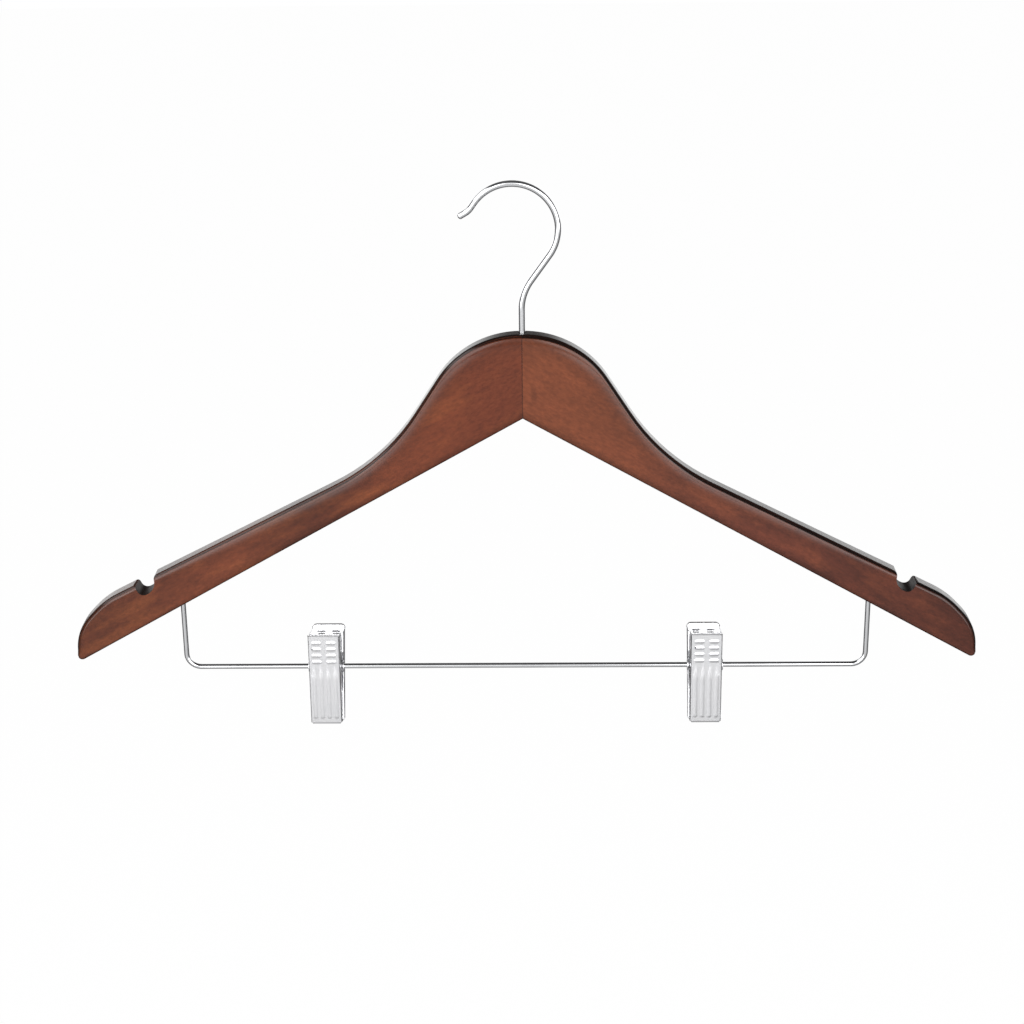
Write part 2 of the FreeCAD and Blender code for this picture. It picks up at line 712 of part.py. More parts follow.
def add_lugs(body, face, inner):
    """Two lugs that reach from the plate to the pivot, each with a hole for the tube."""
    y = side_sign(face)
    arm = new_sketch(body, "lug_arm", "YZ_Plane", inner)
    top = "dims.lug_radius"
    low = "-dims.lug_radius"
    draw(arm, [
        Corner("0", top),
        Corner(f"{y}{plate(top, 'dims.skin / 2')}", top),
        Corner(f"{y}{plate(low, 'dims.skin / 2')}", low),
        Corner("0", low),
    ])
    arm_pad = pad(body, arm, "dims.sheet")
    eye = new_sketch(body, "lug_eye", "YZ_Plane", inner)
    draw_circle(eye, "0", "0", "dims.lug_radius")
    eye_pad = pad(body, eye, "dims.sheet")
    mirror_across_width(body, [arm_pad, eye_pad])
    hole = new_sketch(body, "pivot_hole", "YZ_Plane")
    draw_circle(hole, "0", "0", "dims.tube_radius + dims.pivot_gap")
    pocket(body, hole, "dims.rear_width", symmetric=True)


def press_recess(sketch, face, low, high, relief):
    """Hollow behind a raised bar, which keeps the sheet's thickness, seen from the side."""
    y = side_sign(face)
    low = f"({low}) + dims.press_wall"
    high = f"({high}) - dims.press_wall"
    inside = "dims.skin * 3 / 2"
    bottom = f"dims.skin - {relief}"
    draw(sketch, [
        Corner(f"{y}{plate(low, inside)}", low),
        Corner(f"{y}{plate(high, inside)}", high),
        Corner(f"{y}{plate(high, 'dims.skin')}", high),
        Corner(f"{y}{plate(f'{high} - {relief}', bottom)}", f"{high} - {relief}"),
        Corner(f"{y}{plate(f'{low} + {relief}', bottom)}", f"{low} + {relief}"),
        Corner(f"{y}{plate(low, 'dims.skin')}", low),
    ])


def raised_bar(sketch, face, low, high, relief):
    """Raised bar on the plate between two heights, with sloping ends, seen from the side."""
    y = side_sign(face)
    sunk = "dims.skin / 2"
    draw(sketch, [
        Corner(f"{y}{plate(low, sunk)}", low),
        Corner(f"{y}{plate(high, sunk)}", high),
        Corner(f"{y}{plate(high)}", high),
        Corner(f"{y}{plate(f'({high}) - {relief}', f'-{relief}')}", f"({high}) - {relief}"),
        Corner(f"{y}{plate(f'({low}) + {relief}', f'-{relief}')}", f"({low}) + {relief}"),
        Corner(f"{y}{plate(low)}", low),
    ])


def emboss(body, face):
    """Pressed grip bars in two columns on the handle, and pressed upright ribs on the jaw."""
    start = "dims.grip_column - dims.grip_length / 2"
    grips = new_sketch(body, "grips", "YZ_Plane", start)
    hollows = new_sketch(body, "grip_hollows", "YZ_Plane", f"{start} + dims.sheet")
    for row in range(GRIP_ROWS):
        high = f"dims.handle_height - dims.grip_top - {row} * dims.grip_pitch"
        raised_bar(grips, face, f"{high} - dims.grip_height", high, "dims.grip_relief")
        press_recess(hollows, face, f"{high} - dims.grip_height", high, "dims.grip_relief")
    grip_pad = pad(body, grips, "dims.grip_length")
    grip_cut = pocket(body, hollows, "dims.grip_length - 2 * dims.sheet", forwards=True)
    mirror_across_width(body, [grip_pad, grip_cut])
    low = "-dims.jaw_length + dims.rib_bottom"
    start = f"-dims.rib_pitch * {(RIBS - 1) / 2} - dims.rib_width / 2"
    rib = new_sketch(body, "rib", "YZ_Plane", start)
    raised_bar(rib, face, low, "dims.rib_top", "dims.rib_relief")
    rib_pad = pad(body, rib, "dims.rib_width")
    hollow = new_sketch(body, "rib_hollow", "YZ_Plane", f"{start} + dims.sheet")
    press_recess(hollow, face, low, "dims.rib_top", "dims.rib_relief")
    rib_cut = pocket(body, hollow, "dims.rib_width - 2 * dims.sheet", forwards=True)
    repeat_across_width(body, [rib_pad, rib_cut], RIBS, "dims.rib_pitch")


def round_corners(body, width, radius):
    """Rounds the two top corners of a handle, seen from the front."""
    sketch = new_sketch(body, "corner", "XZ_Plane")
    edge = f"{width} / 2"
    top = "dims.handle_height"
    draw(sketch, [
        Corner(f"{edge} - 2 * {radius}", top),
        Corner(edge, top, radius),
        Corner(edge, f"{top} - 2 * {radius}"),
        Corner(f"{edge} + {radius}", f"{top} - 2 * {radius}"),
        Corner(f"{edge} + {radius}", f"{top} + {radius}"),
        Corner(f"{edge} - 2 * {radius}", f"{top} + {radius}"),
    ])
    mirror_across_width(body, [pocket(body, sketch, "2 * dims.handle_spread", symmetric=True)])


def make_shell(name, side, face):
    """One pressed half of a clip. The rear half is wider, so that its sides pass the front's."""
    width = "dims.clip_width" if face == FRONT else "dims.rear_width"
    rear_lug = "dims.clip_width / 2 - 2 * dims.sheet - dims.lug_gap"
    lug = rear_lug if face == REAR else f"{rear_lug} - dims.sheet - dims.lug_spacing"
    corner = "dims.front_corner_radius" if face == FRONT else "dims.rear_corner_radius"
    body = new_body(name)
    shell_block(body, face, width)
    half = value(width) / 2
    run = value("dims.handle_height + dims.jaw_length")
    outer = value("dims.jaw_depth / 2")

    def along_plate(edge):
        box = edge.BoundBox
        at_side = box.XLength < TOUCHING and abs(abs(box.XMin) - half) < TOUCHING
        return at_side and box.ZLength > run * WHOLE_EDGE and box.Center.y * face > outer

    round_edges(body, "edge_rounding", "dims.shell_edge_radius", along_plate)
    hollow_shell(body, face, width)
    round_corners(body, width, corner)
    add_lugs(body, face, lug)
    emboss(body, face)
    place_on_bar(body, side)
    return body


def make_pad(name, side, face):
    """Soft pad that fills a jaw's tray, with grooves across its gripping face."""
    y = side_sign(face)
    body = new_body(name)
    low = "-dims.jaw_length + dims.sheet + dims.pad_fit"
    high = f"{low} + dims.pad_height"
    depth = "dims.skin + dims.pad_fit"
    block = new_sketch(body, "block", "YZ_Plane")
    draw(block, [
        Corner(f"{y}{plate(low, depth)}", low),
        Corner(f"{y}{plate(high, depth)}", high),
        Corner(f"{y}dims.pad_gap / 2", high),
        Corner(f"{y}dims.pad_gap / 2", low),
    ])
    inside = "dims.clip_width" if face == FRONT else "dims.rear_width"
    pad(body, block, f"{inside} - 2 * (dims.sheet + dims.pad_fit)", symmetric=True)
    grooves = new_sketch(body, "grooves", "YZ_Plane")
    for number in range(PAD_GROOVES):
        foot = f"{low} + {number + 0.5} * dims.groove_pitch"
        draw(grooves, [
            Corner("0", foot),
            Corner("0", f"{foot} + dims.groove_height"),
            Corner(f"{y}(dims.groove_depth + dims.pad_gap / 2)", f"{foot} + dims.groove_height / 2"),
        ])
    pocket(body, grooves, "dims.rear_width", symmetric=True)
    place_on_bar(body, side)
    return body


def arc_between(start, way, finish):
    """Arc that leaves start along way and ends at finish."""
    chord = finish - start
    bend = way.getAngle(chord)
    inward = (way - chord.normalize() * math.cos(bend)).normalize()
    chord = finish - start
    middle = start + chord * 0.5 + inward * (chord.Length / 2 * math.tan(bend / 2))
    return Part.Arc(start, middle, finish).toShape()


def biarc(start, start_way, finish, finish_way):
    """Two arcs that join two points smoothly in given directions."""
    across = finish - start
    along = across.dot(start_way + finish_way)
    spread = 2 * (1 - start_way.dot(finish_way))
    reach = (-along + math.sqrt(along * along + spread * across.dot(across))) / spread
    middle = (start + start_way * reach + finish - finish_way * reach) * 0.5
    first = arc_between(start, start_way, middle)
    second = arc_between(finish, finish_way * -1, middle)
    return [first, second]


def leg_lean(coil_radius):
    """Lean of a spring leg from upright, at which its end lies against the shell's plate."""
    height = value("dims.spring_leg_height")
    aim = value(plate("dims.spring_leg_height", "dims.skin + dims.spring_leg_gap + dims.spring_wire / 2"))
    low, high = 0.0, math.radians(STEEPEST_LEG)
    for _ in range(BISECTIONS):
        lean = (low + high) / 2
        reach = coil_radius * math.cos(lean) + (height + coil_radius * math.sin(lean)) * math.tan(lean)
        low, high = (lean, high) if reach < aim else (low, lean)
    return lean


def make_spring(name, side):
    """Torsion spring: a coil round the pivot tube and a straight leg against each handle."""
    wire = value("dims.spring_wire")
    pitch = value("dims.spring_pitch")
    coil = value("dims.tube_radius + dims.spring_bore_gap") + wire / 2
    lean = leg_lean(coil)
    first = math.pi + lean
    turns = value("dims.spring_turns") + (math.pi - 2 * lean) / (2 * math.pi)
    quarters = round(turns * 4)
    step = turns * 2 * math.pi / quarters
    climb = pitch / (2 * math.pi)
    slope = math.hypot(coil, climb)

    def point(angle):
        advance = climb * (angle - first) - pitch * turns / 2
        return FreeCAD.Vector(advance, coil * math.cos(angle), coil * math.sin(angle))

    def way(angle):
        return FreeCAD.Vector(climb, -coil * math.sin(angle), coil * math.cos(angle)) * (1 / slope)

    last = first + step * quarters
    rise = value("dims.spring_leg_height") + coil * math.sin(lean)
    length = rise / math.cos(lean)
    edges = [Part.LineSegment(point(first) - way(first) * length, point(first)).toShape()]
    for number in range(quarters):
        angle = first + number * step
        edges += biarc(point(angle), way(angle), point(angle + step), way(angle + step))
    edges.append(Part.LineSegment(point(last), point(last) + way(last) * length).toShape())
    spine = Part.Wire(Part.__sortEdges__(edges))
    start = point(first) - way(first) * length
    section = Part.Wire(Part.makeCircle(wire / 2, start, way(first)))
    spring = doc.addObject("Part::Feature", name)
    spring.Label = name
    spring.Shape = spine.makePipeShell([section], True, False)
    gap = pitch * coil / slope - wire
    sweep_angle = step * quarters / GAP_SAMPLES
    samples = [point(first + sweep_angle * i) for i in range(GAP_SAMPLES + 1)]
    apart = [
        (samples[i] - samples[j]).Length
        for i in range(GAP_SAMPLES + 1) for j in range(i)
        if (i - j) * sweep_angle > math.pi
    ]
    least = min(apart) - wire
    print(f"{name}: least gap between turns {least:.2f} mm, from the pitch {gap:.2f} mm")
    if least < LEAST_TURN_GAP:
        raise RuntimeError(f"{name}: its turns are too close")
    place_on_bar(spring, side)
    return spring


def make_clip(word, side):
    """All six pieces of one clip."""
    return [
        make_tube(f"{word}_pivot_tube", side),
        make_shell(f"{word}_front_shell", side, FRONT),
        make_shell(f"{word}_rear_shell", side, REAR),
        make_spring(f"{word}_spring", side),
        make_pad(f"{word}_front_pad", side, FRONT),
        make_pad(f"{word}_rear_pad", side, REAR),
    ]


def write_parts(parts):
    """Checks the whole document, then writes each sub-part to its own file."""
    doc.recompute()
    for obj in doc.Objects:
        if "Invalid" in obj.State or "Error" in obj.State:
            raise RuntimeError(f"{obj.Name} failed: {obj.State}")
    for part in parts:
        if part.Shape.isNull() or not part.Shape.isValid():
            raise RuntimeError(f"{part.Label} has no valid shape")
        if len(part.Shape.Solids) != 1:
            raise RuntimeError(f"{part.Label} has {len(part.Shape.Solids)} solids")
    os.makedirs("parts", exist_ok=True)
    for part in parts:
        part.Shape.exportStep(f"parts/{part.Label}.step")
        print(f"{part.Label}: {part.Shape.Volume:.1f} mm3")


def main():
    fill_sheet()
    parts = [
        make_arm("left_arm", LEFT),
        make_arm("right_arm", RIGHT),
        make_key(),
        make_bush(),
        make_hook(),
        make_bar(),
    ]
    parts += make_clip("left", LEFT)
    parts += make_clip("right", RIGHT)
    write_parts(parts)


main()
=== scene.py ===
"""Looks of a wooden skirt hanger: stained arms, a swivel hook, a wire drop bar and two sprung clips."""

import json
import logging
import math
from collections.abc import Callable, Iterable, Mapping, Sequence
from dataclasses import dataclass
from enum import Enum

import bmesh
import bpy
from mathutils import Matrix, Vector


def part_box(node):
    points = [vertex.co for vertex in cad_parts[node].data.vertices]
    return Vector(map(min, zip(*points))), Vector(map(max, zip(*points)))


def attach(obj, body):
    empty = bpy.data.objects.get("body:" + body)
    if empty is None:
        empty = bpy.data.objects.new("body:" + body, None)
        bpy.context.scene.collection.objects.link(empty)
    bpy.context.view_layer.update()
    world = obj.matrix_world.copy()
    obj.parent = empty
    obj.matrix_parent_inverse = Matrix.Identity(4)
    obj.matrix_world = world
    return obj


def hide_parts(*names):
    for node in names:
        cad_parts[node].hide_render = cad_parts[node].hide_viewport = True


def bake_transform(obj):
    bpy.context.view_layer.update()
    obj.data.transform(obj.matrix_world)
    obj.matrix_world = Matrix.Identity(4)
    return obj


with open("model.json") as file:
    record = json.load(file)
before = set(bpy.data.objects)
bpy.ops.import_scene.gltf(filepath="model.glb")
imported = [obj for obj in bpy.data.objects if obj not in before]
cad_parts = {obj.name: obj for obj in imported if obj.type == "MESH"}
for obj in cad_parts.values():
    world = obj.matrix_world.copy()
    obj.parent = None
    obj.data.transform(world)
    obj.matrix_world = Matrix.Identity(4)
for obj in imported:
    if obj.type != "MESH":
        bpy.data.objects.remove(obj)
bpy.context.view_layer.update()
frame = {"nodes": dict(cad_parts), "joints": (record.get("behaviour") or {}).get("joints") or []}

LOG = logging.getLogger("skirt_hanger")
MM = 0.001
JOINTS = {joint["name"]: joint for joint in frame["joints"]}
ARC_STEP = math.radians(3)
NOTHING: Mapping = {}
Range = tuple[float, float]
Band = tuple[float, float, float, float]
Colour = tuple[float, float, float, float]
Lumps = tuple[float, float, float]


class Side(Enum):
    """The two arms and the two clips, with the sign of their X."""

    LEFT = -1
    RIGHT = 1

    @property
    def word(self) -> str:
        """Name of the side, as the frame writes it."""
        return self.name.lower()


class Face(Enum):
    """The two halves of a clip, with the sign of their Y."""

    FRONT = -1
    REAR = 1

    @property
    def word(self) -> str:
        """Name of the half, as the frame writes it."""
        return self.name.lower()


# Node trees

def arithmetic(operation: str) -> Callable[["Wire", "Wire | float"], "Wire"]:
    """Method of a wire that adds a Math node for an operation and takes a second value."""
    return lambda first, second: first.nodes.math(operation, first, second)


class Wire:
    """Output of a node, on which plain arithmetic adds Math nodes."""

    __add__ = __radd__ = arithmetic("ADD")
    __mul__ = __rmul__ = arithmetic("MULTIPLY")
    __sub__ = arithmetic("SUBTRACT")
    __truediv__ = arithmetic("DIVIDE")
    __pow__ = arithmetic("POWER")

    def __init__(self, nodes: "Nodes", socket: bpy.types.NodeSocket) -> None:
        self.nodes = nodes
        self.socket = socket

    def __rsub__(self, other: float) -> "Wire":
        """Difference from a number."""
        return self.nodes.math("SUBTRACT", other, self)

    def __abs__(self) -> "Wire":
        """Size of a value without its sign."""
        return self.nodes.math("ABSOLUTE", self)

    def also(self, output: str | int) -> "Wire":
        """Another output of the same node."""
        return Wire(self.nodes, self.nodes.find(self.socket.node.outputs, output))


class Nodes:
    """Builder of one node tree, for a surface, the world or geometry."""

    def __init__(self, tree: bpy.types.NodeTree) -> None:
        self.tree = tree

    @staticmethod
    def find(sockets: Iterable[bpy.types.NodeSocket], key: str | int) -> bpy.types.NodeSocket:
        """Socket of a node.

        Args:
            sockets: The node's inputs or outputs.
            key: The socket's number, identifier or name.

        Returns:
            The first socket that fits the key.
        """
        if isinstance(key, int):
            return sockets[key]
        fitting = [s for s in sockets if s.identifier == key or s.name == key and s.enabled]
        return fitting[0]

    def add(self, kind: str, settings: Mapping[str, object] = NOTHING,
            inputs: Mapping[str | int, object] = NOTHING, output: str | int = 0) -> Wire:
        """Adds a node.

        Args:
            kind: The node's type.
            settings: Its properties, set first.
            inputs: Values or wires for its sockets.
            output: The output that is wanted.

        Returns:
            The wire from that output.
        """
        node = self.tree.nodes.new(kind)
        for name, setting in settings.items():
            setattr(node, name, setting)
        for key, value in inputs.items():
            socket = self.find(node.inputs, key)
            if isinstance(value, Wire):
                self.tree.links.new(value.socket, socket)
            else:
                socket.default_value = value
        return Wire(self, self.find(node.outputs, output)) if node.outputs else None

    def math(self, operation: str, first: "Wire | float", second: "Wire | float | None" = None) -> Wire:
        """Result of a Math node, of one value or of two."""
        inputs = {0: first} if second is None else {0: first, 1: second}
        return self.add("ShaderNodeMath", {"operation": operation}, inputs)

    def rise(self, value: Wire, low: "Wire | float", high: "Wire | float") -> Wire:
        """Smooth step from 0 at the low value to 1 at the high value."""
        limits = {"Value": value, "From Min": low, "From Max": high}
        return self.add("ShaderNodeMapRange", {"interpolation_type": "SMOOTHSTEP"}, limits)

    def mix(self, share: "Wire | float", first: object, second: object, blend: str = "MIX") -> Wire:
        """Mixes two colours.

        Args:
            share: Share of the second colour.
            first: Colour or wire at share 0.
            second: Colour or wire at share 1.
            blend: How the second colour is laid on.

        Returns:
            The wire from the mixed colour.
        """
        settings = {"data_type": "RGBA", "blend_type": blend}
        inputs = {"Factor_Float": share, "A_Color": first, "B_Color": second}
        return self.add("ShaderNodeMix", settings, inputs, "Result_Color")

    def noise(self, place: Wire, stretch: Sequence[float], detail: float = 2.0,
              roughness: float = 0.5, distortion: float = 0.0) -> Wire:
        """Smooth noise.

        Args:
            place: Coordinates in metres.
            stretch: Lumps per metre along each axis.
            detail: Number of finer layers.
            roughness: Strength of the finer layers.
            distortion: How far the lumps are drawn out of shape.

        Returns:
            The wire from the noise, mostly between 0.3 and 0.7.
        """
        scaled = self.add("ShaderNodeMapping", inputs={"Vector": place, "Scale": stretch})
        shape = {"Vector": scaled, "Scale": 1.0, "Detail": detail, "Roughness": roughness,
                 "Distortion": distortion}
        return self.add("ShaderNodeTexNoise", inputs=shape)

    def band(self, value: Wire, edges: Band) -> Wire:
        """Smooth step from 0 to 1 and back, between four edges in order."""
        start, full, ebb, end = edges
        return self.rise(value, start, full) * (1 - self.rise(value, ebb, end))

    def split(self, vector: Wire) -> tuple[Wire, Wire, Wire]:
        """X, Y and Z of a vector."""
        x = self.add("ShaderNodeSeparateXYZ", inputs={"Vector": vector})
        return x, x.also("Y"), x.also("Z")

    def bump(self, strength: float, depth: float, height: Wire) -> Wire:
        """Fine relief of a surface, with its depth in millimetres."""
        return self.add("ShaderNodeBump", inputs={
            "Strength": strength, "Distance": depth * MM, "Height": height})


def fresh_nodes(owner: bpy.types.Material | bpy.types.World) -> Nodes:
    """Builder of the emptied node tree of a material or a world.

    Args:
        owner: The material or world.

    Returns:
        The builder.
    """
    owner.use_nodes = True
    owner.node_tree.nodes.clear()
    return Nodes(owner.node_tree)


class GeometryTree:
    """Geometry Nodes tree with named inputs, run on a mesh."""

    def __init__(self, name: str, inputs: Mapping[str, str]) -> None:
        self.tree = bpy.data.node_groups.new(name, "GeometryNodeTree")
        face = self.tree.interface
        self.inputs = {}
        for label, kind in {"Geometry": "NodeSocketGeometry", **inputs}.items():
            self.inputs[label] = face.new_socket(label, in_out="INPUT", socket_type=kind)
        face.new_socket("Geometry", in_out="OUTPUT", socket_type="NodeSocketGeometry")
        self.nodes = Nodes(self.tree)
        self.source = self.nodes.add("NodeGroupInput")

    def get(self, label: str) -> Wire:
        """Wire from a named input."""
        return self.source.also(label)

    def close(self, geometry: Wire) -> None:
        """Realizes the geometry, gives it the Material input and ends the tree.

        Args:
            geometry: What the tree has made.
        """
        real = self.nodes.add("GeometryNodeRealizeInstances", inputs={"Geometry": geometry})
        painted = {"Geometry": real, "Material": self.get("Material")}
        dressed = self.nodes.add("GeometryNodeSetMaterial", inputs=painted)
        self.nodes.add("NodeGroupOutput", inputs={"Geometry": dressed})

    def attach(self, obj: bpy.types.Object, values: Mapping[str, object]) -> None:
        """Puts the tree on an object.

        Args:
            obj: The object that gets the modifier.
            values: A value for each named input.
        """
        modifier = obj.modifiers.new(self.tree.name, "NODES")
        modifier.node_group = self.tree
        for label, value in values.items():
            modifier[self.inputs[label].identifier] = value


# Finishes

def tint(red: int, green: int, blue: int) -> Colour:
    """Colour for a socket.

    Args:
        red: Red as a screen shows it, from 0 to 255.
        green: Green, likewise.
        blue: Blue, likewise.

    Returns:
        The linear colour with full alpha.
    """
    def linear(level: int) -> float:
        """Linear share of one channel."""
        share = level / 255
        return share / 12.92 if share <= 0.04045 else ((share + 0.055) / 1.055) ** 2.4

    return linear(red), linear(green), linear(blue), 1.0


@dataclass(frozen=True)
class Finish:
    """Surface finish that makes its material once."""

    name: str

    def material(self) -> bpy.types.Material:
        """The finish's material, made at the first call.

        Returns:
            The material.
        """
        material = bpy.data.materials.get(self.name)
        if material is None:
            material = bpy.data.materials.new(self.name)
            nodes = fresh_nodes(material)
            surface = nodes.add("ShaderNodeBsdfPrincipled", inputs=self.sockets(nodes))
            nodes.add("ShaderNodeOutputMaterial", inputs={"Surface": surface})
        return material

    def sockets(self, nodes: Nodes) -> dict[str, object]:
        """Values and wires for the shader's sockets.

        Args:
            nodes: Builder of the material's tree.

        Returns:
            A value or wire for each socket that the finish sets.
        """
        raise NotImplementedError

    @staticmethod
    def place(nodes: Nodes) -> Wire:
        """Object coordinates."""
        return nodes.add("ShaderNodeTexCoord", output="Object")


@dataclass(frozen=True)
class StainedWood(Finish):
    """Walnut-stained wood under satin lacquer, with its grain along one arm; places are in millimetres."""

    heart: Colour
    shade: Colour
    glow: Colour
    crown: Colour
    grain_fall: float
    tip_shade: float
    # Painted shade on the top surface out along the arm.
    top_shade: float
    middle_shade: float
    key_mark: float
    # Depths in millimetres of a dark line of painted shade along the rolled edges.
    line: Band
    figure_lumps: Lumps = (16, 60, 52)
    figure_range: Range = (0.32, 0.66)
    figure_twist: float = 0.6
    patch_lumps: Lumps = (34, 90, 110)
    patch_range: Range = (0.45, 0.68)
    patch_share: float = 0.7
    crown_range: Range = (15.0, 120.0)
    crown_share: float = 0.62
    streak_lumps: Lumps = (70, 500, 600)
    streak_tone: float = 0.40
    fleck_lumps: Lumps = (420, 900, 900)
    fleck_tone: float = 1.10
    pore_lumps: Lumps = (300, 1500, 1700)
    pore_range: Range = (0.60, 0.74)
    pore_tone: float = 0.22
    pore_depth: float = 0.6
    grain_tone: float = 0.26
    line_shade: float = 0.94
    edge_range: Range = (4.3, 4.8)
    # Painted shade on the top surface near the crown.
    crown_top_shade: float = 0.9
    outward_range: Range = (30.0, 90.0)
    # Painted shade where the face falls below its full depth towards its edges.
    face_depth: float = 6.0
    rim_fall: float = 0.5
    rim_shade: float = 0.42
    middle_band: Band = (60.0, 100.0, 115.0, 150.0)
    tip_range: Range = (120.0, 212.0)
    seam_range: Range = (0.12, 0.40)
    seam_shade: float = 0.5
    # Painted shade in the notch and on the underside.
    raw_shade: float = 0.6
    key_across: Band = (4.0, 4.5, 6.2, 7.2)
    key_height: Band = (-33.8, -32.4, -26.4, -24.2)
    relief: float = 0.14
    relief_depth: float = 0.04
    satin: float = 0.36
    satin_spread: float = 0.16
    lacquer: float = 0.85
    lacquer_index: float = 1.42
    lacquer_satin: float = 0.10
    shine: float = 0.12

    def sockets(self, nodes: Nodes) -> dict[str, object]:
        """Values and wires of the stained and lacquered wood.

        Args:
            nodes: Builder of the material's tree.

        Returns:
            A value or wire for each socket.
        """
        place = self.place(nodes)
        turn = (0.0, -math.radians(self.grain_fall), 0.0)
        along = nodes.add("ShaderNodeMapping", inputs={"Vector": place, "Rotation": turn})
        raw = nodes.add("ShaderNodeAttribute", {"attribute_name": "raw"}, output="Fac")
        streaks = nodes.noise(along, self.streak_lumps, detail=5, roughness=0.62)
        flecks = nodes.noise(along, self.fleck_lumps, detail=4, roughness=0.6)
        pore = nodes.rise(nodes.noise(along, self.pore_lumps), *self.pore_range)
        grain = self.grain_tone + self.streak_tone * streaks + self.fleck_tone * flecks
        grain = grain - self.pore_tone * pore
        colour = nodes.mix(1.0, self.stain(nodes, place, along), grain, "MULTIPLY")
        return {
            # Painted shade and darker patches multiply the stained colour.
            "Base Color": nodes.mix(1.0, colour, self.wear(nodes, place, raw), "MULTIPLY"),
            "Roughness": self.satin + self.satin_spread * streaks,
            "Normal": nodes.bump(self.relief, self.relief_depth, streaks - self.pore_depth * pore),
            "Specular IOR Level": self.shine,
            "Coat Weight": self.lacquer - self.lacquer * raw,
            "Coat IOR": self.lacquer_index,
            "Coat Roughness": self.lacquer_satin,
        }

    def stain(self, nodes: Nodes, place: Wire, along: Wire) -> Wire:
        """Colour of the stain, without its fine grain.

        Args:
            nodes: Builder of the material's tree.
            place: Object coordinates.
            along: The same, turned along the grain.

        Returns:
            The wire from the colour.
        """
        figure = nodes.noise(along, self.figure_lumps, detail=4, distortion=self.figure_twist)
        patches = nodes.noise(along, self.patch_lumps, detail=3)
        colour = nodes.mix(nodes.rise(figure, *self.figure_range), self.shade, self.heart)
        colour = nodes.mix(nodes.rise(patches, *self.patch_range) * self.patch_share, colour, self.glow)
        across = abs(nodes.split(place)[0]) / MM
        warmth = 1 - nodes.rise(across, *self.crown_range)
        return nodes.mix(warmth * self.crown_share, colour, self.crown)

    def wear(self, nodes: Nodes, place: Wire, raw: Wire) -> Wire:
        """Share of the stain's colour that is left after painted shade on the top surface, along the rolled
        edges, where the face falls towards its edges, in the notch and underneath, and after darkening at the
        seam, towards the tips, along the left arm's middle and over the hidden key.

        Args:
            nodes: Builder of the material's tree.
            place: Object coordinates.
            raw: Share of wood without lacquer, which also gets painted shade.

        Returns:
            The wire from the share.
        """
        x, y, z = nodes.split(place)
        across = abs(x) / MM
        depth = abs(y) / MM
        height = (z - JOINTS["hook_swivel"]["pos_m"][2]) / MM
        # Painted shade on the top surface: dark at the crown, lighter out along the left arm, where light
        # falls from the upper left.
        outward = nodes.rise(across, *self.outward_range)
        top = self.crown_top_shade + (self.top_shade - self.crown_top_shade) * outward
        top = top * (1 - nodes.rise(depth, *self.edge_range))
        # Painted shade where the face falls away towards its edges.
        sunk = nodes.math("MINIMUM", (self.face_depth - depth) / self.rim_fall, 1.0)
        # Painted shade: a dark line along the rolled edges, where the lacquer mirrors a dark ceiling.
        kept = 1 - self.line_shade * nodes.band(depth, self.line) - top
        for strength, mask in (
                (self.seam_shade, 1 - nodes.rise(across, *self.seam_range)),
                (self.tip_shade, nodes.rise(across, *self.tip_range)),
                # Painted shade in the notch and underneath.
                (self.raw_shade, raw),
                # Painted shade where the face falls towards its edges.
                (self.rim_shade, nodes.math("MAXIMUM", sunk, 0.0) ** (1 / 3)),
                (self.middle_shade, nodes.band(across, self.middle_band)),
                (self.key_mark, nodes.band(across, self.key_across) * nodes.band(height, self.key_height))):
            kept = kept * (1 - strength * mask)
        return kept


@dataclass(frozen=True)
class BareBeech(Finish):
    """Pale unfinished wood of the hidden key."""

    pale: Colour = tint(206, 172, 128)
    dark: Colour = tint(176, 140, 98)
    streak_lumps: Lumps = (60, 700, 900)
    streak_range: Range = (0.35, 0.65)
    roughness: float = 0.62
    spread: float = 0.2

    def sockets(self, nodes: Nodes) -> dict[str, object]:
        """Values and wires of the bare wood.

        Args:
            nodes: Builder of the material's tree.

        Returns:
            A value or wire for each socket.
        """
        streaks = nodes.noise(self.place(nodes), self.streak_lumps, detail=4)
        colour = nodes.mix(nodes.rise(streaks, *self.streak_range), self.dark, self.pale)
        return {"Base Color": colour, "Roughness": self.roughness + self.spread * streaks}


@dataclass(frozen=True)
class Metal(Finish):
    """Plated or bare metal with a fine drawn or rolled texture."""

    colour: Colour
    dull: Colour
    polish: float
    spread: float
    stretch: Lumps
    relief: float
    relief_depth: float = 0.02
    cloud_lumps: Lumps = (60, 60, 60)
    cloud_range: Range = (0.42, 0.72)
    cloud_share: float = 0.5

    def sockets(self, nodes: Nodes) -> dict[str, object]:
        """Values and wires of the metal.

        Args:
            nodes: Builder of the material's tree.

        Returns:
            A value or wire for each socket.
        """
        place = self.place(nodes)
        clouds = nodes.noise(place, self.cloud_lumps, detail=3)
        lines = nodes.noise(place, self.stretch, detail=3)
        share = nodes.rise(clouds, *self.cloud_range) * self.cloud_share
        return {
            "Base Color": nodes.mix(share, self.colour, self.dull),
            "Metallic": 1.0,
            "Roughness": self.polish + self.spread * clouds * lines,
            "Normal": nodes.bump(self.relief, self.relief_depth, lines),
        }


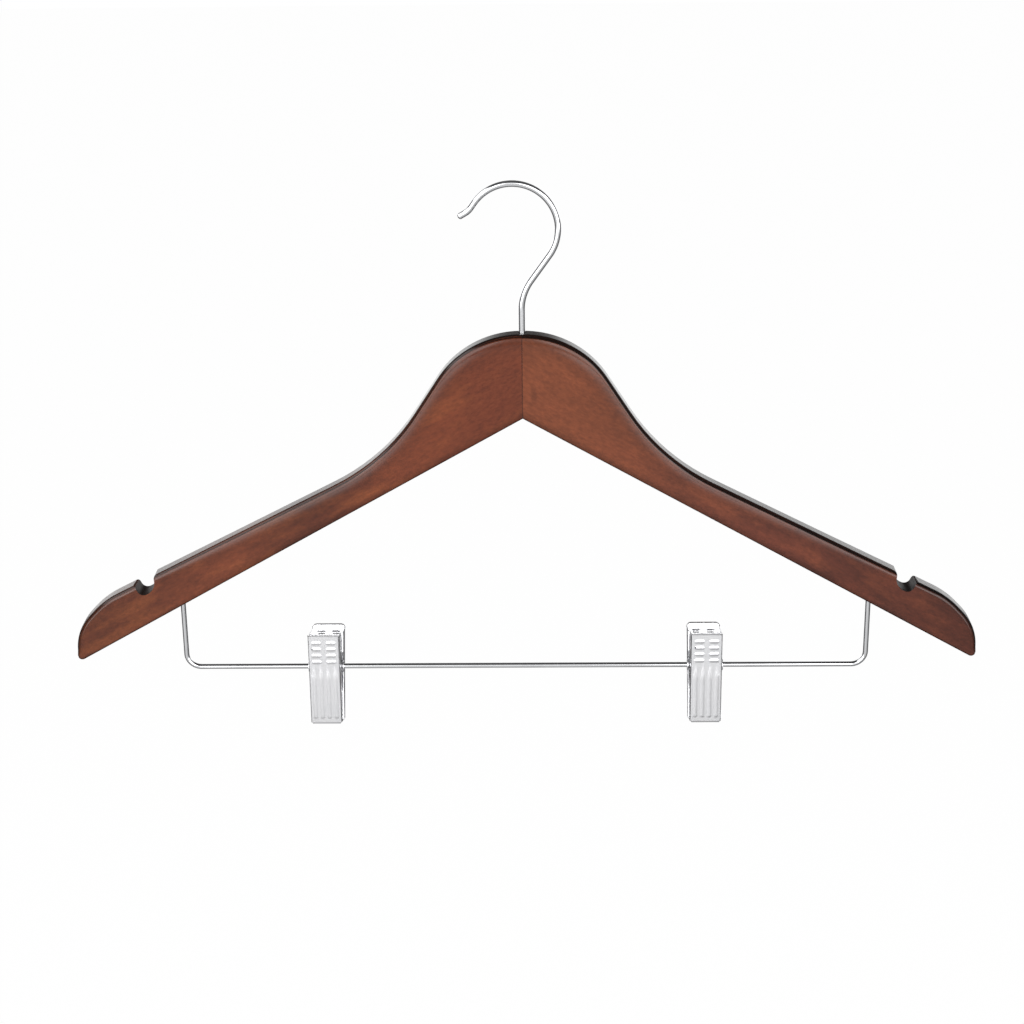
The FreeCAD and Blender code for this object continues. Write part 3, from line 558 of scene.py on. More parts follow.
@dataclass(frozen=True)
class SoftVinyl(Finish):
    """Matt black vinyl of the jaw liners."""

    black: Colour = tint(26, 26, 28)
    dusty: Colour = tint(58, 57, 56)
    grain_lumps: Lumps = (1800, 1800, 1800)
    dust_lumps: Lumps = (160, 160, 160)
    dust_range: Range = (0.45, 0.75)
    dust_share: float = 0.4
    relief: float = 0.3
    relief_depth: float = 0.03
    roughness: float = 0.52
    spread: float = 0.25

    def sockets(self, nodes: Nodes) -> dict[str, object]:
        """Values and wires of the vinyl.

        Args:
            nodes: Builder of the material's tree.

        Returns:
            A value or wire for each socket.
        """
        place = self.place(nodes)
        grain = nodes.noise(place, self.grain_lumps)
        dust = nodes.noise(place, self.dust_lumps, detail=3)
        share = nodes.rise(dust, *self.dust_range) * self.dust_share
        return {
            "Base Color": nodes.mix(share, self.black, self.dusty),
            "Roughness": self.roughness + self.spread * dust,
            "Normal": nodes.bump(self.relief, self.relief_depth, grain),
        }


# The right arm's colours are darker than the left's: partly its own tone, partly painted shade, since the
# light comes from the left.
LEFT_WOOD = StainedWood(
    "left_arm_stained_wood", heart=tint(126, 64, 38), shade=tint(100, 48, 29), glow=tint(150, 81, 45),
    crown=tint(95, 40, 18), grain_fall=-28.5, tip_shade=0.44, top_shade=0.25, middle_shade=0.32, key_mark=0.0,
    line=(4.55, 4.85, 5.0, 5.2))
RIGHT_WOOD = StainedWood(
    "right_arm_stained_wood", heart=tint(102, 50, 34), shade=tint(80, 38, 26), glow=tint(124, 64, 41),
    crown=tint(129, 68, 38), grain_fall=28.5, tip_shade=0.38, top_shade=0.75, middle_shade=0.0, key_mark=0.2,
    line=(4.3, 4.8, 5.1, 5.4))
CHROME = Metal(
    "wire_chrome_plate", colour=tint(238, 239, 241), dull=tint(214, 215, 218), polish=0.07, spread=0.12,
    stretch=(500, 2600, 2600), relief=0.05)
PLATING = Metal(
    "clip_nickel_plate", colour=tint(249, 249, 251), dull=tint(236, 237, 240), polish=0.26, spread=0.16,
    stretch=(900, 900, 900), relief=0.03)
SPRING_STEEL = Metal(
    "spring_steel_wire", colour=tint(66, 66, 70), dull=tint(40, 40, 43), polish=0.26, spread=0.3,
    stretch=(3000, 700, 700), relief=0.1)
BUSH_STEEL = Metal(
    "turned_bush_steel", colour=tint(190, 190, 192), dull=tint(160, 160, 162), polish=0.28, spread=0.3,
    stretch=(200, 200, 5000), relief=0.15)
VINYL = SoftVinyl("jaw_liner_vinyl")
BEECH = BareBeech("key_bare_beech")


# Outlines and meshes

@dataclass(frozen=True)
class Corner:
    """Corner of an outline in millimetres, rounded where it has a radius."""

    x: float
    z: float
    radius: float = 0.0


def clamp(value: float, high: float = 1.0) -> float:
    """Value kept between 0 and a highest value."""
    return min(high, max(0.0, value))


def steepness(angle: float) -> float:
    """Rise of a line for each unit across, at an angle in degrees."""
    return math.tan(math.radians(angle))


def arc(centre: Vector, start: Vector, turn: float) -> list[Vector]:
    """Points along an arc in the plane, which turns anticlockwise where its angle is positive."""
    count = max(2, math.ceil(abs(turn) / ARC_STEP))
    return [centre + Matrix.Rotation(turn * i / count, 2) @ (start - centre) for i in range(count + 1)]


def trace(corners: Sequence[Corner], run: float) -> list[Vector]:
    """Points along straight runs and the tangent arcs that round their corners.

    Args:
        corners: The corners, of which the first and last are ends.
        run: Longest step along a straight run.

    Returns:
        The points in the plane, in millimetres.
    """
    points = [Vector((c.x, c.z)) for c in corners]
    path = [points[0]]
    for i in range(1, len(points)):
        stretch = [points[i]]
        if corners[i].radius and i + 1 < len(points):
            arriving = (points[i] - points[i - 1]).normalized()
            leaving = (points[i + 1] - points[i]).normalized()
            turn = math.atan2(arriving.cross(leaving), arriving.dot(leaving))
            start = points[i] - arriving * (corners[i].radius * math.tan(abs(turn) / 2))
            inward = Vector((-arriving.y, arriving.x)) * math.copysign(corners[i].radius, turn)
            stretch = arc(start + inward, start, turn)
        steps = math.ceil((stretch[0] - path[-1]).length / run)
        path += [path[-1].lerp(stretch[0], k / steps) for k in range(1, steps)] + stretch
    return path


def new_object(name: str, mesh: bpy.types.Mesh) -> bpy.types.Object:
    """New object in the scene that holds a mesh.

    Args:
        name: Its name.
        mesh: Its mesh.

    Returns:
        The object.
    """
    obj = bpy.data.objects.new(name, mesh)
    bpy.context.scene.collection.objects.link(obj)
    return obj


def to_mesh(name: str, shape: bmesh.types.BMesh) -> bpy.types.Mesh:
    """Plain mesh from a bmesh in millimetres, which is freed.

    Args:
        name: The mesh's name.
        shape: The bmesh.

    Returns:
        The mesh, in metres.
    """
    mesh = bpy.data.meshes.new(name)
    shape.to_mesh(mesh)
    shape.free()
    mesh.transform(Matrix.Scale(MM, 4))
    return mesh


def settle(obj: bpy.types.Object) -> None:
    """Works an object's modifiers into a plain mesh and removes them.

    Args:
        obj: The object.
    """
    graph = bpy.context.evaluated_depsgraph_get()
    mesh = bpy.data.meshes.new_from_object(obj.evaluated_get(graph), depsgraph=graph)
    obj.modifiers.clear()
    obj.data = mesh


def shade(obj: bpy.types.Object, crease: float) -> None:
    """Shades an object smooth, apart from edges that turn by more than a crease in degrees."""
    obj.data.shade_smooth()
    obj.data.set_sharp_from_angle(angle=math.radians(crease))


def close_faces(shape: bmesh.types.BMesh) -> bmesh.types.BMesh:
    """Merges doubles and turns the faces of a closed shape outwards.

    Args:
        shape: The closed shape.

    Returns:
        The same shape.
    """
    bmesh.ops.remove_doubles(shape, verts=shape.verts, dist=1e-4)
    bmesh.ops.recalc_face_normals(shape, faces=shape.faces)
    return shape


def prism(shape: bmesh.types.BMesh, outline: Sequence[Vector], ends: tuple[float, float],
          axis: str) -> None:
    """Adds a prism to a shape.

    Args:
        shape: The shape that it is added to.
        outline: Closed outline in the plane across the axis, XZ for Y and YZ for X.
        ends: Where it starts and ends along the axis.
        axis: "X" or "Y".
    """
    def point(flat: Vector, place: float) -> tuple[float, float, float]:
        """Point of the outline at a place along the axis."""
        return (flat.x, place, flat.y) if axis == "Y" else (place, flat.x, flat.y)

    rings = [[shape.verts.new(point(flat, place)) for flat in outline] for place in ends]
    for ring in rings:
        shape.faces.new(ring)
    for i in range(len(outline)):
        shape.faces.new((rings[0][i - 1], rings[0][i], rings[1][i], rings[1][i - 1]))


def lathe(shape: bmesh.types.BMesh, section: Sequence[tuple[float, float]], axis: str, sides: int,
          aside: float = 0.0) -> None:
    """Adds a turned solid to a shape.

    Args:
        shape: The shape that it is added to.
        section: Closed section as radius and place along the axis.
        axis: "X" through the origin, or "Z".
        sides: Number of facets round the axis.
        aside: X of a Z axis.
    """
    rings = []
    for k in range(sides):
        turn = 2 * math.pi * k / sides
        ring = []
        for radius, place in section:
            out = radius * math.cos(turn), radius * math.sin(turn)
            ring.append(shape.verts.new((aside + out[0], out[1], place) if axis == "Z" else (place, *out)))
        rings.append(ring)
    for k in range(sides):
        for i in range(len(section)):
            if section[i - 1][0] or section[i][0]:
                shape.faces.new((rings[k - 1][i - 1], rings[k - 1][i], rings[k][i], rings[k][i - 1]))


def cylinder(radius: float, start: float, end: float) -> list[tuple[float, float]]:
    """Section of a plain cylinder for the lathe."""
    return [(0, start), (radius, start), (radius, end), (0, end)]


def seat(obj: bpy.types.Object, body: str, node: str) -> None:
    """Lets a piece ride on a body in place of a CAD node.

    Args:
        obj: The finished piece.
        body: Body that it moves with.
        node: CAD node that it stands for.
    """
    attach(obj, body)
    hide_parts(node)
    LOG.info("%s: %d faces, rides on %s", obj.name, len(obj.data.polygons), body)


class BentWire(GeometryTree):
    """Round wire along a path of edges, with rounded ends."""

    LEAST_TAPER = 0.02

    def __init__(self) -> None:
        super().__init__("bent_wire", {
            "Diameter": "NodeSocketFloat", "Step": "NodeSocketFloat", "End Rounding": "NodeSocketFloat",
            "Sides": "NodeSocketInt", "Material": "NodeSocketMaterial"})
        nodes = self.nodes
        path = nodes.add("GeometryNodeMeshToCurve", inputs={"Mesh": self.get("Geometry")})
        path = nodes.add("GeometryNodeResampleCurve", {"mode": "LENGTH"},
                         {"Curve": path, "Length": self.get("Step")})
        run = nodes.add("GeometryNodeSplineParameter", output="Length")
        whole = nodes.add("GeometryNodeSplineLength", output="Length")
        to_end = nodes.math("MINIMUM", run, whole - run)
        short = nodes.math("MAXIMUM", 1 - to_end / self.get("End Rounding"), 0.0)
        taper = nodes.math("SQRT", nodes.math("MAXIMUM", 1 - short * short, self.LEAST_TAPER))
        ring = nodes.add("GeometryNodeCurvePrimitiveCircle", inputs={
            "Resolution": self.get("Sides"), "Radius": self.get("Diameter") / 2})
        tube = nodes.add("GeometryNodeCurveToMesh", inputs={
            "Curve": path, "Profile Curve": ring, "Scale": taper, "Fill Caps": True})
        smooth = nodes.add("GeometryNodeSetShadeSmooth", inputs={"Geometry": tube})
        self.close(smooth)

    def make(self, name: str, path: Sequence[Vector], diameter: float, rounding: float,
             finish: Finish, step: float = 0.35, sides: int = 24) -> bpy.types.Object:
        """Makes one wire.

        Args:
            name: The piece's name.
            path: Points of its centreline, in millimetres.
            diameter: Its thickness in millimetres.
            rounding: Length of its rounded ends in millimetres.
            finish: Its finish.
            step: Length of its facets in millimetres.
            sides: Number of facets round it.

        Returns:
            The wire as a plain mesh object.
        """
        mesh = bpy.data.meshes.new(name)
        mesh.from_pydata([p * MM for p in path], [(i, i + 1) for i in range(len(path) - 1)], [])
        obj = new_object(name, mesh)
        self.attach(obj, {
            "Diameter": diameter * MM, "Step": step * MM, "End Rounding": rounding * MM, "Sides": sides,
            "Material": finish.material()})
        settle(obj)
        return obj


# Wooden arms

@dataclass
class WoodArms:
    """Two stained arms that meet at the centre seam, in millimetres from the seam's foot."""

    half_width: float = 222.5
    thickness: float = 12.0
    under_angle: float = 29.5
    top_angle: float = 27.1
    arm_rise: float = 13.1
    crown_height: float = 41.0
    crown_radius: float = 47.5
    crown_flat: float = 0.6
    neck_angle: float = 57.0
    neck_radius: float = 103.0
    tip_angle: float = 46.7
    tip_shoulder: float = 16.9
    tip_upper_radius: float = 44.0
    tip_lower_radius: float = 27.5
    tip_corner_radius: float = 2.3
    notch_distance: float = 181.9
    notch_width: float = 10.7
    notch_depth: float = 6.5
    notch_lean: float = 14.0
    notch_inner_radius: float = 6.5
    notch_outer_radius: float = 3.2
    notch_lip_radius: float = 1.5
    notch_inner_lip: float = 2.0
    roll_depth: float = 2.6
    roll_width: float = 1.8
    roll_angle: float = 50.0
    face_fall: float = 0.5
    face_width: float = 9.0
    fade_start: float = 140.0
    fade_run: float = 50.0
    under_roll: float = 0.4
    socket_place: float = 169.0
    socket_radius: float = 1.29
    socket_depth: float = 10.0
    stem_radius: float = 1.75
    bush_radius: float = 3.05
    collar_radius: float = 4.35
    head_radius: float = 2.75
    bush_levels: tuple[float, ...] = (21.7, 24.85, 27.35, 36.35)
    key_half_length: float = 5.6
    key_half_width: float = 2.55
    key_levels: tuple[float, float] = (7.3, 18.9)
    seam_gap: float = 0.01
    sanded_edge: float = 0.5
    sharp_angle: float = 38.0
    crease: float = 34.0
    roll_steps: int = 10
    roll_start: float = 1.3
    roll_gain: float = 2.0
    fade_depth: float = 0.85
    bend_share: float = 0.8
    room_gain: float = 0.6
    edge_share: float = 0.6
    notch_overlap: float = 0.05
    raw_margin: float = 1.0
    raw_under: float = 0.8

    @property
    def foot(self) -> float:
        """Height of the seam's foot in the frame, in metres."""
        return JOINTS["hook_swivel"]["pos_m"][2] - self.crown_height * MM

    def top_at(self, x: float) -> float:
        """Height of an arm's straight top edge at a distance from the seam."""
        return self.arm_rise - steepness(self.top_angle) * x

    def outline(self) -> list[Vector]:
        """Outline of the right arm from the seam's foot to its top, without the notch.

        Returns:
            Points in order, in millimetres.
        """
        top, neck, tip = (steepness(a) for a in (self.top_angle, self.neck_angle, self.tip_angle))
        low = -self.half_width * steepness(self.under_angle)
        crown_x = self.crown_flat + self.crown_radius * steepness(self.neck_angle / 2)
        neck_x = (self.crown_height - self.arm_rise + neck * crown_x) / (neck - top)
        tip_x = (self.half_width * tip + low + self.tip_shoulder - self.arm_rise) / (tip - top)
        return trace([
            Corner(0, 0),
            Corner(self.half_width, low, self.tip_corner_radius),
            Corner(self.half_width, low + self.tip_shoulder, self.tip_lower_radius),
            Corner(tip_x, self.top_at(tip_x), self.tip_upper_radius),
            Corner(neck_x, self.top_at(neck_x), self.neck_radius),
            Corner(crown_x, self.crown_height, self.crown_radius),
            Corner(0, self.crown_height),
        ], run=6.0)

    def edge_profile(self, edge: float, flat: float) -> list[tuple[float, float]]:
        """Loops over the wood's edge, from the back's flat to the front's flat.

        Args:
            edge: Share of the full roll.
            flat: Share of the full fall of the face beside the roll.

        Returns:
            Inset and depth of each loop.
        """
        half = self.thickness / 2
        fall = self.face_fall * flat
        last = math.radians(self.roll_angle)
        loops = []
        for i in range(self.roll_steps + 1):
            turn = last * i / self.roll_steps
            loops.append((edge * self.roll_width * (1 - math.cos(turn)) / (1 - math.cos(last)),
                          half - fall - edge * self.roll_depth * (1 - math.sin(turn) / math.sin(last))))
        for i in range(1, self.roll_steps + 1):
            share = i / self.roll_steps
            loops.append((edge * self.roll_width + flat * self.face_width * share,
                          half - fall * (1 - share) ** 3))
        return list(reversed(loops)) + [(inset, -depth) for inset, depth in loops]

    def room(self, points: Sequence[Vector]) -> list[float]:
        """Largest inset that each point of an outline allows.

        Args:
            points: The outline, anticlockwise round the wood.

        Returns:
            A length for each point, short near tight outer bends.
        """
        tight = []
        for before, point, after in zip(points, points[1:], points[2:]):
            turn = (point - before).angle_signed(after - point, 0.0) * -1
            if turn > 1e-4:
                tight.append((point, self.bend_share * (after - before).length / 2 / turn))
        return [min(radius + self.room_gain * (point - place).length for place, radius in tight)
                for point in points]

    def loops(self) -> list[list[Vector]]:
        """Points of the right arm, one list for each point of its outline.

        Returns:
            Lists of points from the back to the front.
        """
        points = self.outline()
        room = self.room(points)
        rows = []
        for i, point in enumerate(points):
            way = (points[min(i + 1, len(points) - 1)] - points[max(i - 1, 0)]).normalized()
            inward = Vector((-way.y, way.x))
            upward = clamp(self.roll_start - self.roll_gain * inward.y)
            roll = self.under_roll + (1 - self.under_roll) * upward
            edge = min(roll, self.edge_share * room[i] / self.roll_width)
            fade = 1 - self.fade_depth * clamp((point.x - self.fade_start) / self.fade_run)
            flat = min(roll * fade, (room[i] - edge * self.roll_width) / self.face_width)
            row = []
            for inset, depth in self.edge_profile(edge, flat):
                moved = point + inward * inset
                if i in (0, len(points) - 1):
                    moved = Vector((0.0, point.y + inset / inward.y))
                row.append(Vector((moved.x, depth, moved.y)))
            rows.append(row)
        return rows

    def blank(self, side: Side) -> bmesh.types.BMesh:
        """One arm before its notch, socket, bore and slot are cut.

        Args:
            side: The arm's side.

        Returns:
            The closed shape.
        """
        shape = bmesh.new()
        rows = [[shape.verts.new((side.value * max(p.x, self.seam_gap), p.y, p.z)) for p in row]
                for row in self.loops()]
        for before, after in zip(rows, rows[1:]):
            for k in range(len(before) - 1):
                shape.faces.new((before[k], before[k + 1], after[k + 1], after[k]))
        shape.faces.new([row[0] for row in rows])
        shape.faces.new([row[-1] for row in rows])
        shape.faces.new(rows[0] + rows[-1][::-1])
        return close_faces(shape)

    def notch_frame(self) -> tuple[Vector, Vector, Vector]:
        """Start of the right arm's notch, and the ways along its top edge and square down from it.

        Returns:
            A point and two unit vectors in the plane.
        """
        fall = math.radians(self.top_angle)
        start = Vector((self.notch_distance, self.top_at(self.notch_distance)))
        along = Vector((math.cos(fall), -math.sin(fall)))
        return start, along, Vector((along.y, -along.x))

    def notch(self) -> list[Vector]:
        """Outline of what the right arm's notch takes away, square to the arm's top edge.

        Returns:
            Points of the closed outline.
        """
        start, along, down = self.notch_frame()
        wide = 2 * self.notch_lip_radius
        width, deep = self.notch_width, self.notch_depth
        above, lip = -self.thickness, -self.notch_overlap
        corners = []
        for run, depth, radius in (
                (-wide, above, 0), (-wide, lip, 0), (0, lip, self.notch_inner_lip),
                (deep * steepness(self.notch_lean), deep, self.notch_inner_radius),
                (width, deep, self.notch_outer_radius), (width, lip, self.notch_lip_radius),
                (width + wide, lip, 0), (width + wide, above, 0)):
            point = start + along * run + down * depth
            corners.append(Corner(point.x, point.y, radius))
        return trace(corners, run=3.0)

    def bore(self) -> list[tuple[float, float]]:
        """Section of the stepped bore: stem, bush, the bush's collar and the hook's head.

        Returns:
            Radius and height of each corner, from the top down.
        """
        head, collar, shoulder, bush = self.bush_levels
        wall = []
        for radius, start, end in (
                (self.stem_radius, self.crown_height + self.thickness, bush),
                (self.bush_radius, bush, shoulder),
                (self.collar_radius, shoulder, collar),
                (self.head_radius, collar, head)):
            wall += [(radius, start), (radius, end)]
        return [(0, wall[0][1]), *wall, (0, head)]

    def cutter(self, side: Side) -> bmesh.types.BMesh:
        """What is cut from one arm: notch, bar socket, stepped bore and key slot.

        Args:
            side: The arm's side.

        Returns:
            The closed shapes in one bmesh.
        """
        shape = bmesh.new()
        notch = [Vector((side.value * p.x, p.y)) for p in self.notch()]
        prism(shape, notch, (-self.thickness, self.thickness), "Y")
        top = self.socket_depth - self.socket_place * steepness(self.under_angle)
        socket = cylinder(self.socket_radius, top, top - 2 * self.socket_depth)
        lathe(shape, socket, "Z", 32, side.value * self.socket_place)
        lathe(shape, self.bore(), "Z", 48)
        reach = self.key_half_length
        low, high = self.key_levels
        slot = [Vector(p) for p in ((-reach, low), (reach, low), (reach, high), (-reach, high))]
        prism(shape, slot, (-self.key_half_width, self.key_half_width), "Y")
        return close_faces(shape)

    def sand(self, obj: bpy.types.Object) -> None:
        """Rounds the sharp edges that the notch leaves.

        Args:
            obj: The arm.
        """
        shape = bmesh.new()
        shape.from_mesh(obj.data)
        near = (self.notch_distance - 2 * self.notch_lip_radius) * MM
        bottom = self.foot + (self.top_at(self.notch_distance) - 2 * self.notch_depth) * MM
        limit = math.radians(self.sharp_angle)
        sharp = [e for e in shape.edges if len(e.link_faces) == 2 and e.calc_face_angle(0.0) > limit
                 and all(abs(v.co.x) > near and v.co.z > bottom for v in e.verts)]
        bmesh.ops.bevel(shape, geom=sharp, offset=self.sanded_edge * MM, segments=3, profile=0.5,
                        affect="EDGES", clamp_overlap=True)
        shape.to_mesh(obj.data)
        shape.free()

    def mark_raw(self, obj: bpy.types.Object) -> None:
        """Marks the notch's inside and the underside in a face attribute, which gives them less lacquer and
        painted shade.

        Args:
            obj: The arm.
        """
        start, along, down = self.notch_frame()
        margin = self.raw_margin
        raw = obj.data.attributes.new("raw", "FLOAT", "FACE")
        for face in obj.data.polygons:
            spot = Vector((abs(face.center.x), face.center.z - self.foot)) / MM - start
            inside = (-margin < spot.dot(along) < self.notch_width + margin
                      and margin < spot.dot(down) < self.notch_depth + margin)
            # Faces that look down get less lacquer and painted shade.
            under = clamp(-2 * face.normal.z, self.raw_under)
            raw.data[face.index].value = 1.0 if inside and abs(face.normal.y) < 0.5 else under

    def make(self, side: Side, finish: Finish) -> bpy.types.Object:
        """Makes one arm.

        Args:
            side: The arm's side.
            finish: Its stain and lacquer.

        Returns:
            The arm as a plain mesh object.
        """
        lift = Matrix.Translation((0, 0, self.foot))
        arm = new_object(f"{side.word}_arm_wood", to_mesh("arm", self.blank(side)))
        tool = new_object("arm_tool", to_mesh("arm_tool", self.cutter(side)))
        for obj in (arm, tool):
            obj.data.transform(lift)
        cut = arm.modifiers.new("cut", "BOOLEAN")
        cut.object = tool
        cut.solver = "EXACT"
        settle(arm)
        bpy.data.objects.remove(tool)
        self.sand(arm)
        self.mark_raw(arm)
        arm.data.materials.append(finish.material())
        shade(arm, self.crease)
        arm.modifiers.new("normals", "WEIGHTED_NORMAL").keep_sharp = True
        settle(arm)
        return arm

    def build(self) -> None:
        """Makes and seats both arms and dresses what is hidden in their seam."""
        for side, finish in ((Side.LEFT, LEFT_WOOD), (Side.RIGHT, RIGHT_WOOD)):
            seat(self.make(side, finish), "frame", f"{side.word}_arm")
        for node, finish in (("joint_key", BEECH), ("hook_bush", BUSH_STEEL)):
            dress_node(node, finish)


def dress_node(node: str, finish: Finish) -> None:
    """Gives a CAD node that stays a better material.

    Args:
        node: The node's name.
        finish: Its finish.
    """
    slots = frame["nodes"][node].data.materials
    slots.clear()
    slots.append(finish.material())
    LOG.info("%s: kept, %s", node, finish.name)


# Wires

@dataclass
class SwivelHook:
    """Bent wire hook, in millimetres from the crown's top."""

    wire: float = 3.0
    stem_height: float = 11.0
    stem_foot: float = -16.2
    bend_radius: float = 23.7
    lean: float = 17.0
    offset: float = 4.2
    bow_radius: float = 21.3
    lip_angle: float = 55.0
    lip_length: float = 2.6
    curl_radius: float = 7.8
    curl_angle: float = 25.0
    tail: float = 4.0
    end_rounding: float = 1.2
    head_radius: float = 2.5
    head_thickness: float = 1.8
    head_overlap: float = 0.2
    crease: float = 50.0

    def path(self) -> list[Vector]:
        """Centreline from the stem's foot to the turned-out tip.

        Returns:
            Points from the crown's top.
        """
        stem = Vector((0, self.stem_height))
        bend = stem + Vector((self.bend_radius, 0))
        bow = Vector((-self.offset, self.stem_height + self.lean + self.bow_radius))
        between = bow - bend
        heading = math.atan2(between.y, between.x)
        heading -= math.asin((self.bend_radius + self.bow_radius) / between.length)
        side = Vector((-math.sin(heading), math.cos(heading)))
        lip = math.radians(180 + self.lip_angle)
        lip_way = Vector((math.cos(lip), math.sin(lip)))
        flat = [Vector((0, self.stem_foot))]
        flat += arc(bend, stem, heading - math.pi / 2)
        flat += arc(bow, bow - side * self.bow_radius, lip - heading)
        tip = flat[-1] + lip_way * self.lip_length
        curl = tip + Vector((lip_way.y, -lip_way.x)) * self.curl_radius
        unroll = -math.radians(self.curl_angle)
        flat += arc(curl, tip, unroll)
        flat.append(flat[-1] + Matrix.Rotation(unroll, 2) @ lip_way * self.tail)
        return [Vector((p.x, 0, p.y)) for p in flat]

    def build(self, bender: BentWire) -> None:
        """Makes and seats the hook.

        Args:
            bender: The tree that makes wires.
        """
        crown = Vector(JOINTS["hook_swivel"]["pos_m"]) / MM
        path = [crown + p for p in self.path()]
        hook = bender.make("hook_wire", path, self.wire, self.end_rounding, CHROME)
        head = bmesh.new()
        low = self.stem_foot - self.head_thickness
        lathe(head, cylinder(self.head_radius, low, self.stem_foot + self.head_overlap), "Z", 32)
        mesh = to_mesh("hook_head", close_faces(head))
        mesh.transform(Matrix.Translation(crown * MM))
        add_mesh(hook, mesh)
        shade(hook, self.crease)
        seat(hook, "hook", "hook")


def add_mesh(obj: bpy.types.Object, mesh: bpy.types.Mesh) -> None:
    """Adds a mesh to an object's own, in its first material, and frees the added mesh.

    Args:
        obj: The object.
        mesh: The mesh that is added.
    """
    shape = bmesh.new()
    shape.from_mesh(obj.data)
    shape.from_mesh(mesh)
    shape.to_mesh(obj.data)
    shape.free()
    bpy.data.meshes.remove(mesh)


@dataclass
class DropBar:
    """Wire bar with an upright leg at each end, in millimetres."""

    wire: float = 2.5
    span: float = 338.0
    bend_radius: float = 7.0
    end_rounding: float = 0.6

    def build(self, bender: BentWire) -> None:
        """Makes and seats the bar.

        Args:
            bender: The tree that makes wires.
        """
        level = JOINTS["left_clip_swing"]["pos_m"][2] / MM
        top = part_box("drop_bar")[1].z / MM
        half = self.span / 2
        flat = trace([Corner(-half, top), Corner(-half, level, self.bend_radius),
                      Corner(half, level, self.bend_radius), Corner(half, top)], run=20.0)
        path = [Vector((p.x, 0, p.y)) for p in flat]
        bar = bender.make("drop_bar_wire", path, self.wire, self.end_rounding, CHROME, step=0.5)
        seat(bar, "frame", "drop_bar")


# Clips

class PressedRelief(GeometryTree):
    """Raised grip bars in rows and upright ribs, pressed into a shell's plate."""

    LENGTHS = ("grip_column", "grip_length", "grip_height", "grip_pitch", "grip_middle", "grip_relief",
               "rib_pitch", "rib_width", "rib_top", "rib_low", "rib_relief")
    COUNTS = ("grip_rows", "rib_count")
    GRIP_EDGE: Range = (0.25, 1.15)
    RIB_EDGE: Range = (0.35, 1.1)
    RIB_RISE = 9.0
    RIB_TIP = 0.3

    def __init__(self) -> None:
        sizes = {name: "NodeSocketFloat" for name in self.LENGTHS + self.COUNTS}
        super().__init__("pressed_relief", {
            **sizes, "Press Direction": "NodeSocketVector", "Material": "NodeSocketMaterial"})
        nodes = self.nodes
        x, _, z = nodes.split(nodes.add("GeometryNodeInputPosition"))
        height = self.grips(x, z) * self.get("grip_relief") + self.ribs(x, z) * self.get("rib_relief")
        plate = nodes.add("GeometryNodeInputNamedAttribute", {"data_type": "FLOAT"}, {"Name": "plate"})
        push = nodes.add("ShaderNodeVectorMath", {"operation": "SCALE"}, {
            0: self.get("Press Direction"), "Scale": height * plate})
        moved = nodes.add("GeometryNodeSetPosition", inputs={
            "Geometry": self.get("Geometry"), "Offset": push})
        self.close(moved)

    def cell(self, value: Wire, count: Wire) -> tuple[Wire, Wire]:
        """Splits a row into equal cells.

        Args:
            value: Place along the row, in cells.
            count: Number of cells in use.

        Returns:
            Distance from the cell's middle, in cells, and 1 inside the row or 0 outside it.
        """
        nodes = self.nodes
        off = abs(nodes.math("FRACT", value) - 0.5)
        inside = nodes.math("GREATER_THAN", value, 0.0) * nodes.math("LESS_THAN", value, count)
        return off, inside

    def dome(self, along: Wire, across: Wire, half: Wire) -> Wire:
        """Rounded bar.

        Args:
            along: Distance past the straight part of the bar.
            across: Distance from the bar's line.
            half: Half the bar's width.

        Returns:
            Height of the bar, from 0 to 1.
        """
        nodes = self.nodes
        beyond = nodes.math("MAXIMUM", along, 0.0)
        away = nodes.math("SQRT", beyond * beyond + across * across) / half
        return 1 - nodes.rise(away, *self.GRIP_EDGE)

    def grips(self, x: Wire, z: Wire) -> Wire:
        """Height of the grip bars at a point of the plate.

        Args:
            x: The point's X in metres.
            z: Its Z.

        Returns:
            The height, from 0 to 1.
        """
        half = self.get("grip_height") / 2
        row = (self.get("grip_middle") - z) / self.get("grip_pitch") + self.get("grip_rows") / 2
        off, inside = self.cell(row, self.get("grip_rows"))
        past = abs(abs(x) - self.get("grip_column")) - (self.get("grip_length") / 2 - half)
        return self.dome(past, off * self.get("grip_pitch"), half) * inside

    def ribs(self, x: Wire, z: Wire) -> Wire:
        """Height of the ribs at a point of the plate.

        Args:
            x: The point's X in metres.
            z: Its Z.

        Returns:
            The height, from 0 to 1.
        """
        half = self.get("rib_width") / 2
        column = x / self.get("rib_pitch") + self.get("rib_count") / 2
        off, inside = self.cell(column, self.get("rib_count"))
        upper = self.nodes.rise(self.get("rib_top") - z, 0.0, self.RIB_RISE * half)
        taper = upper * self.nodes.rise(z - self.get("rib_low"), 0.0, half)
        away = off * self.get("rib_pitch") / (half * (self.RIB_TIP + (1 - self.RIB_TIP) * taper))
        return taper * (1 - self.nodes.rise(away, *self.RIB_EDGE)) * inside


@dataclass(frozen=True)
class ShellSize:
    """Sizes in which a clip's two shells differ, in millimetres."""

    width: float
    corner: float
    lip: float
    lug: float


SHELLS = {
    Face.FRONT: ShellSize(width=15.4, corner=0.9, lip=1.0, lug=5.95),
    Face.REAR: ShellSize(width=16.5, corner=2.2, lip=0.6, lug=6.5),
}


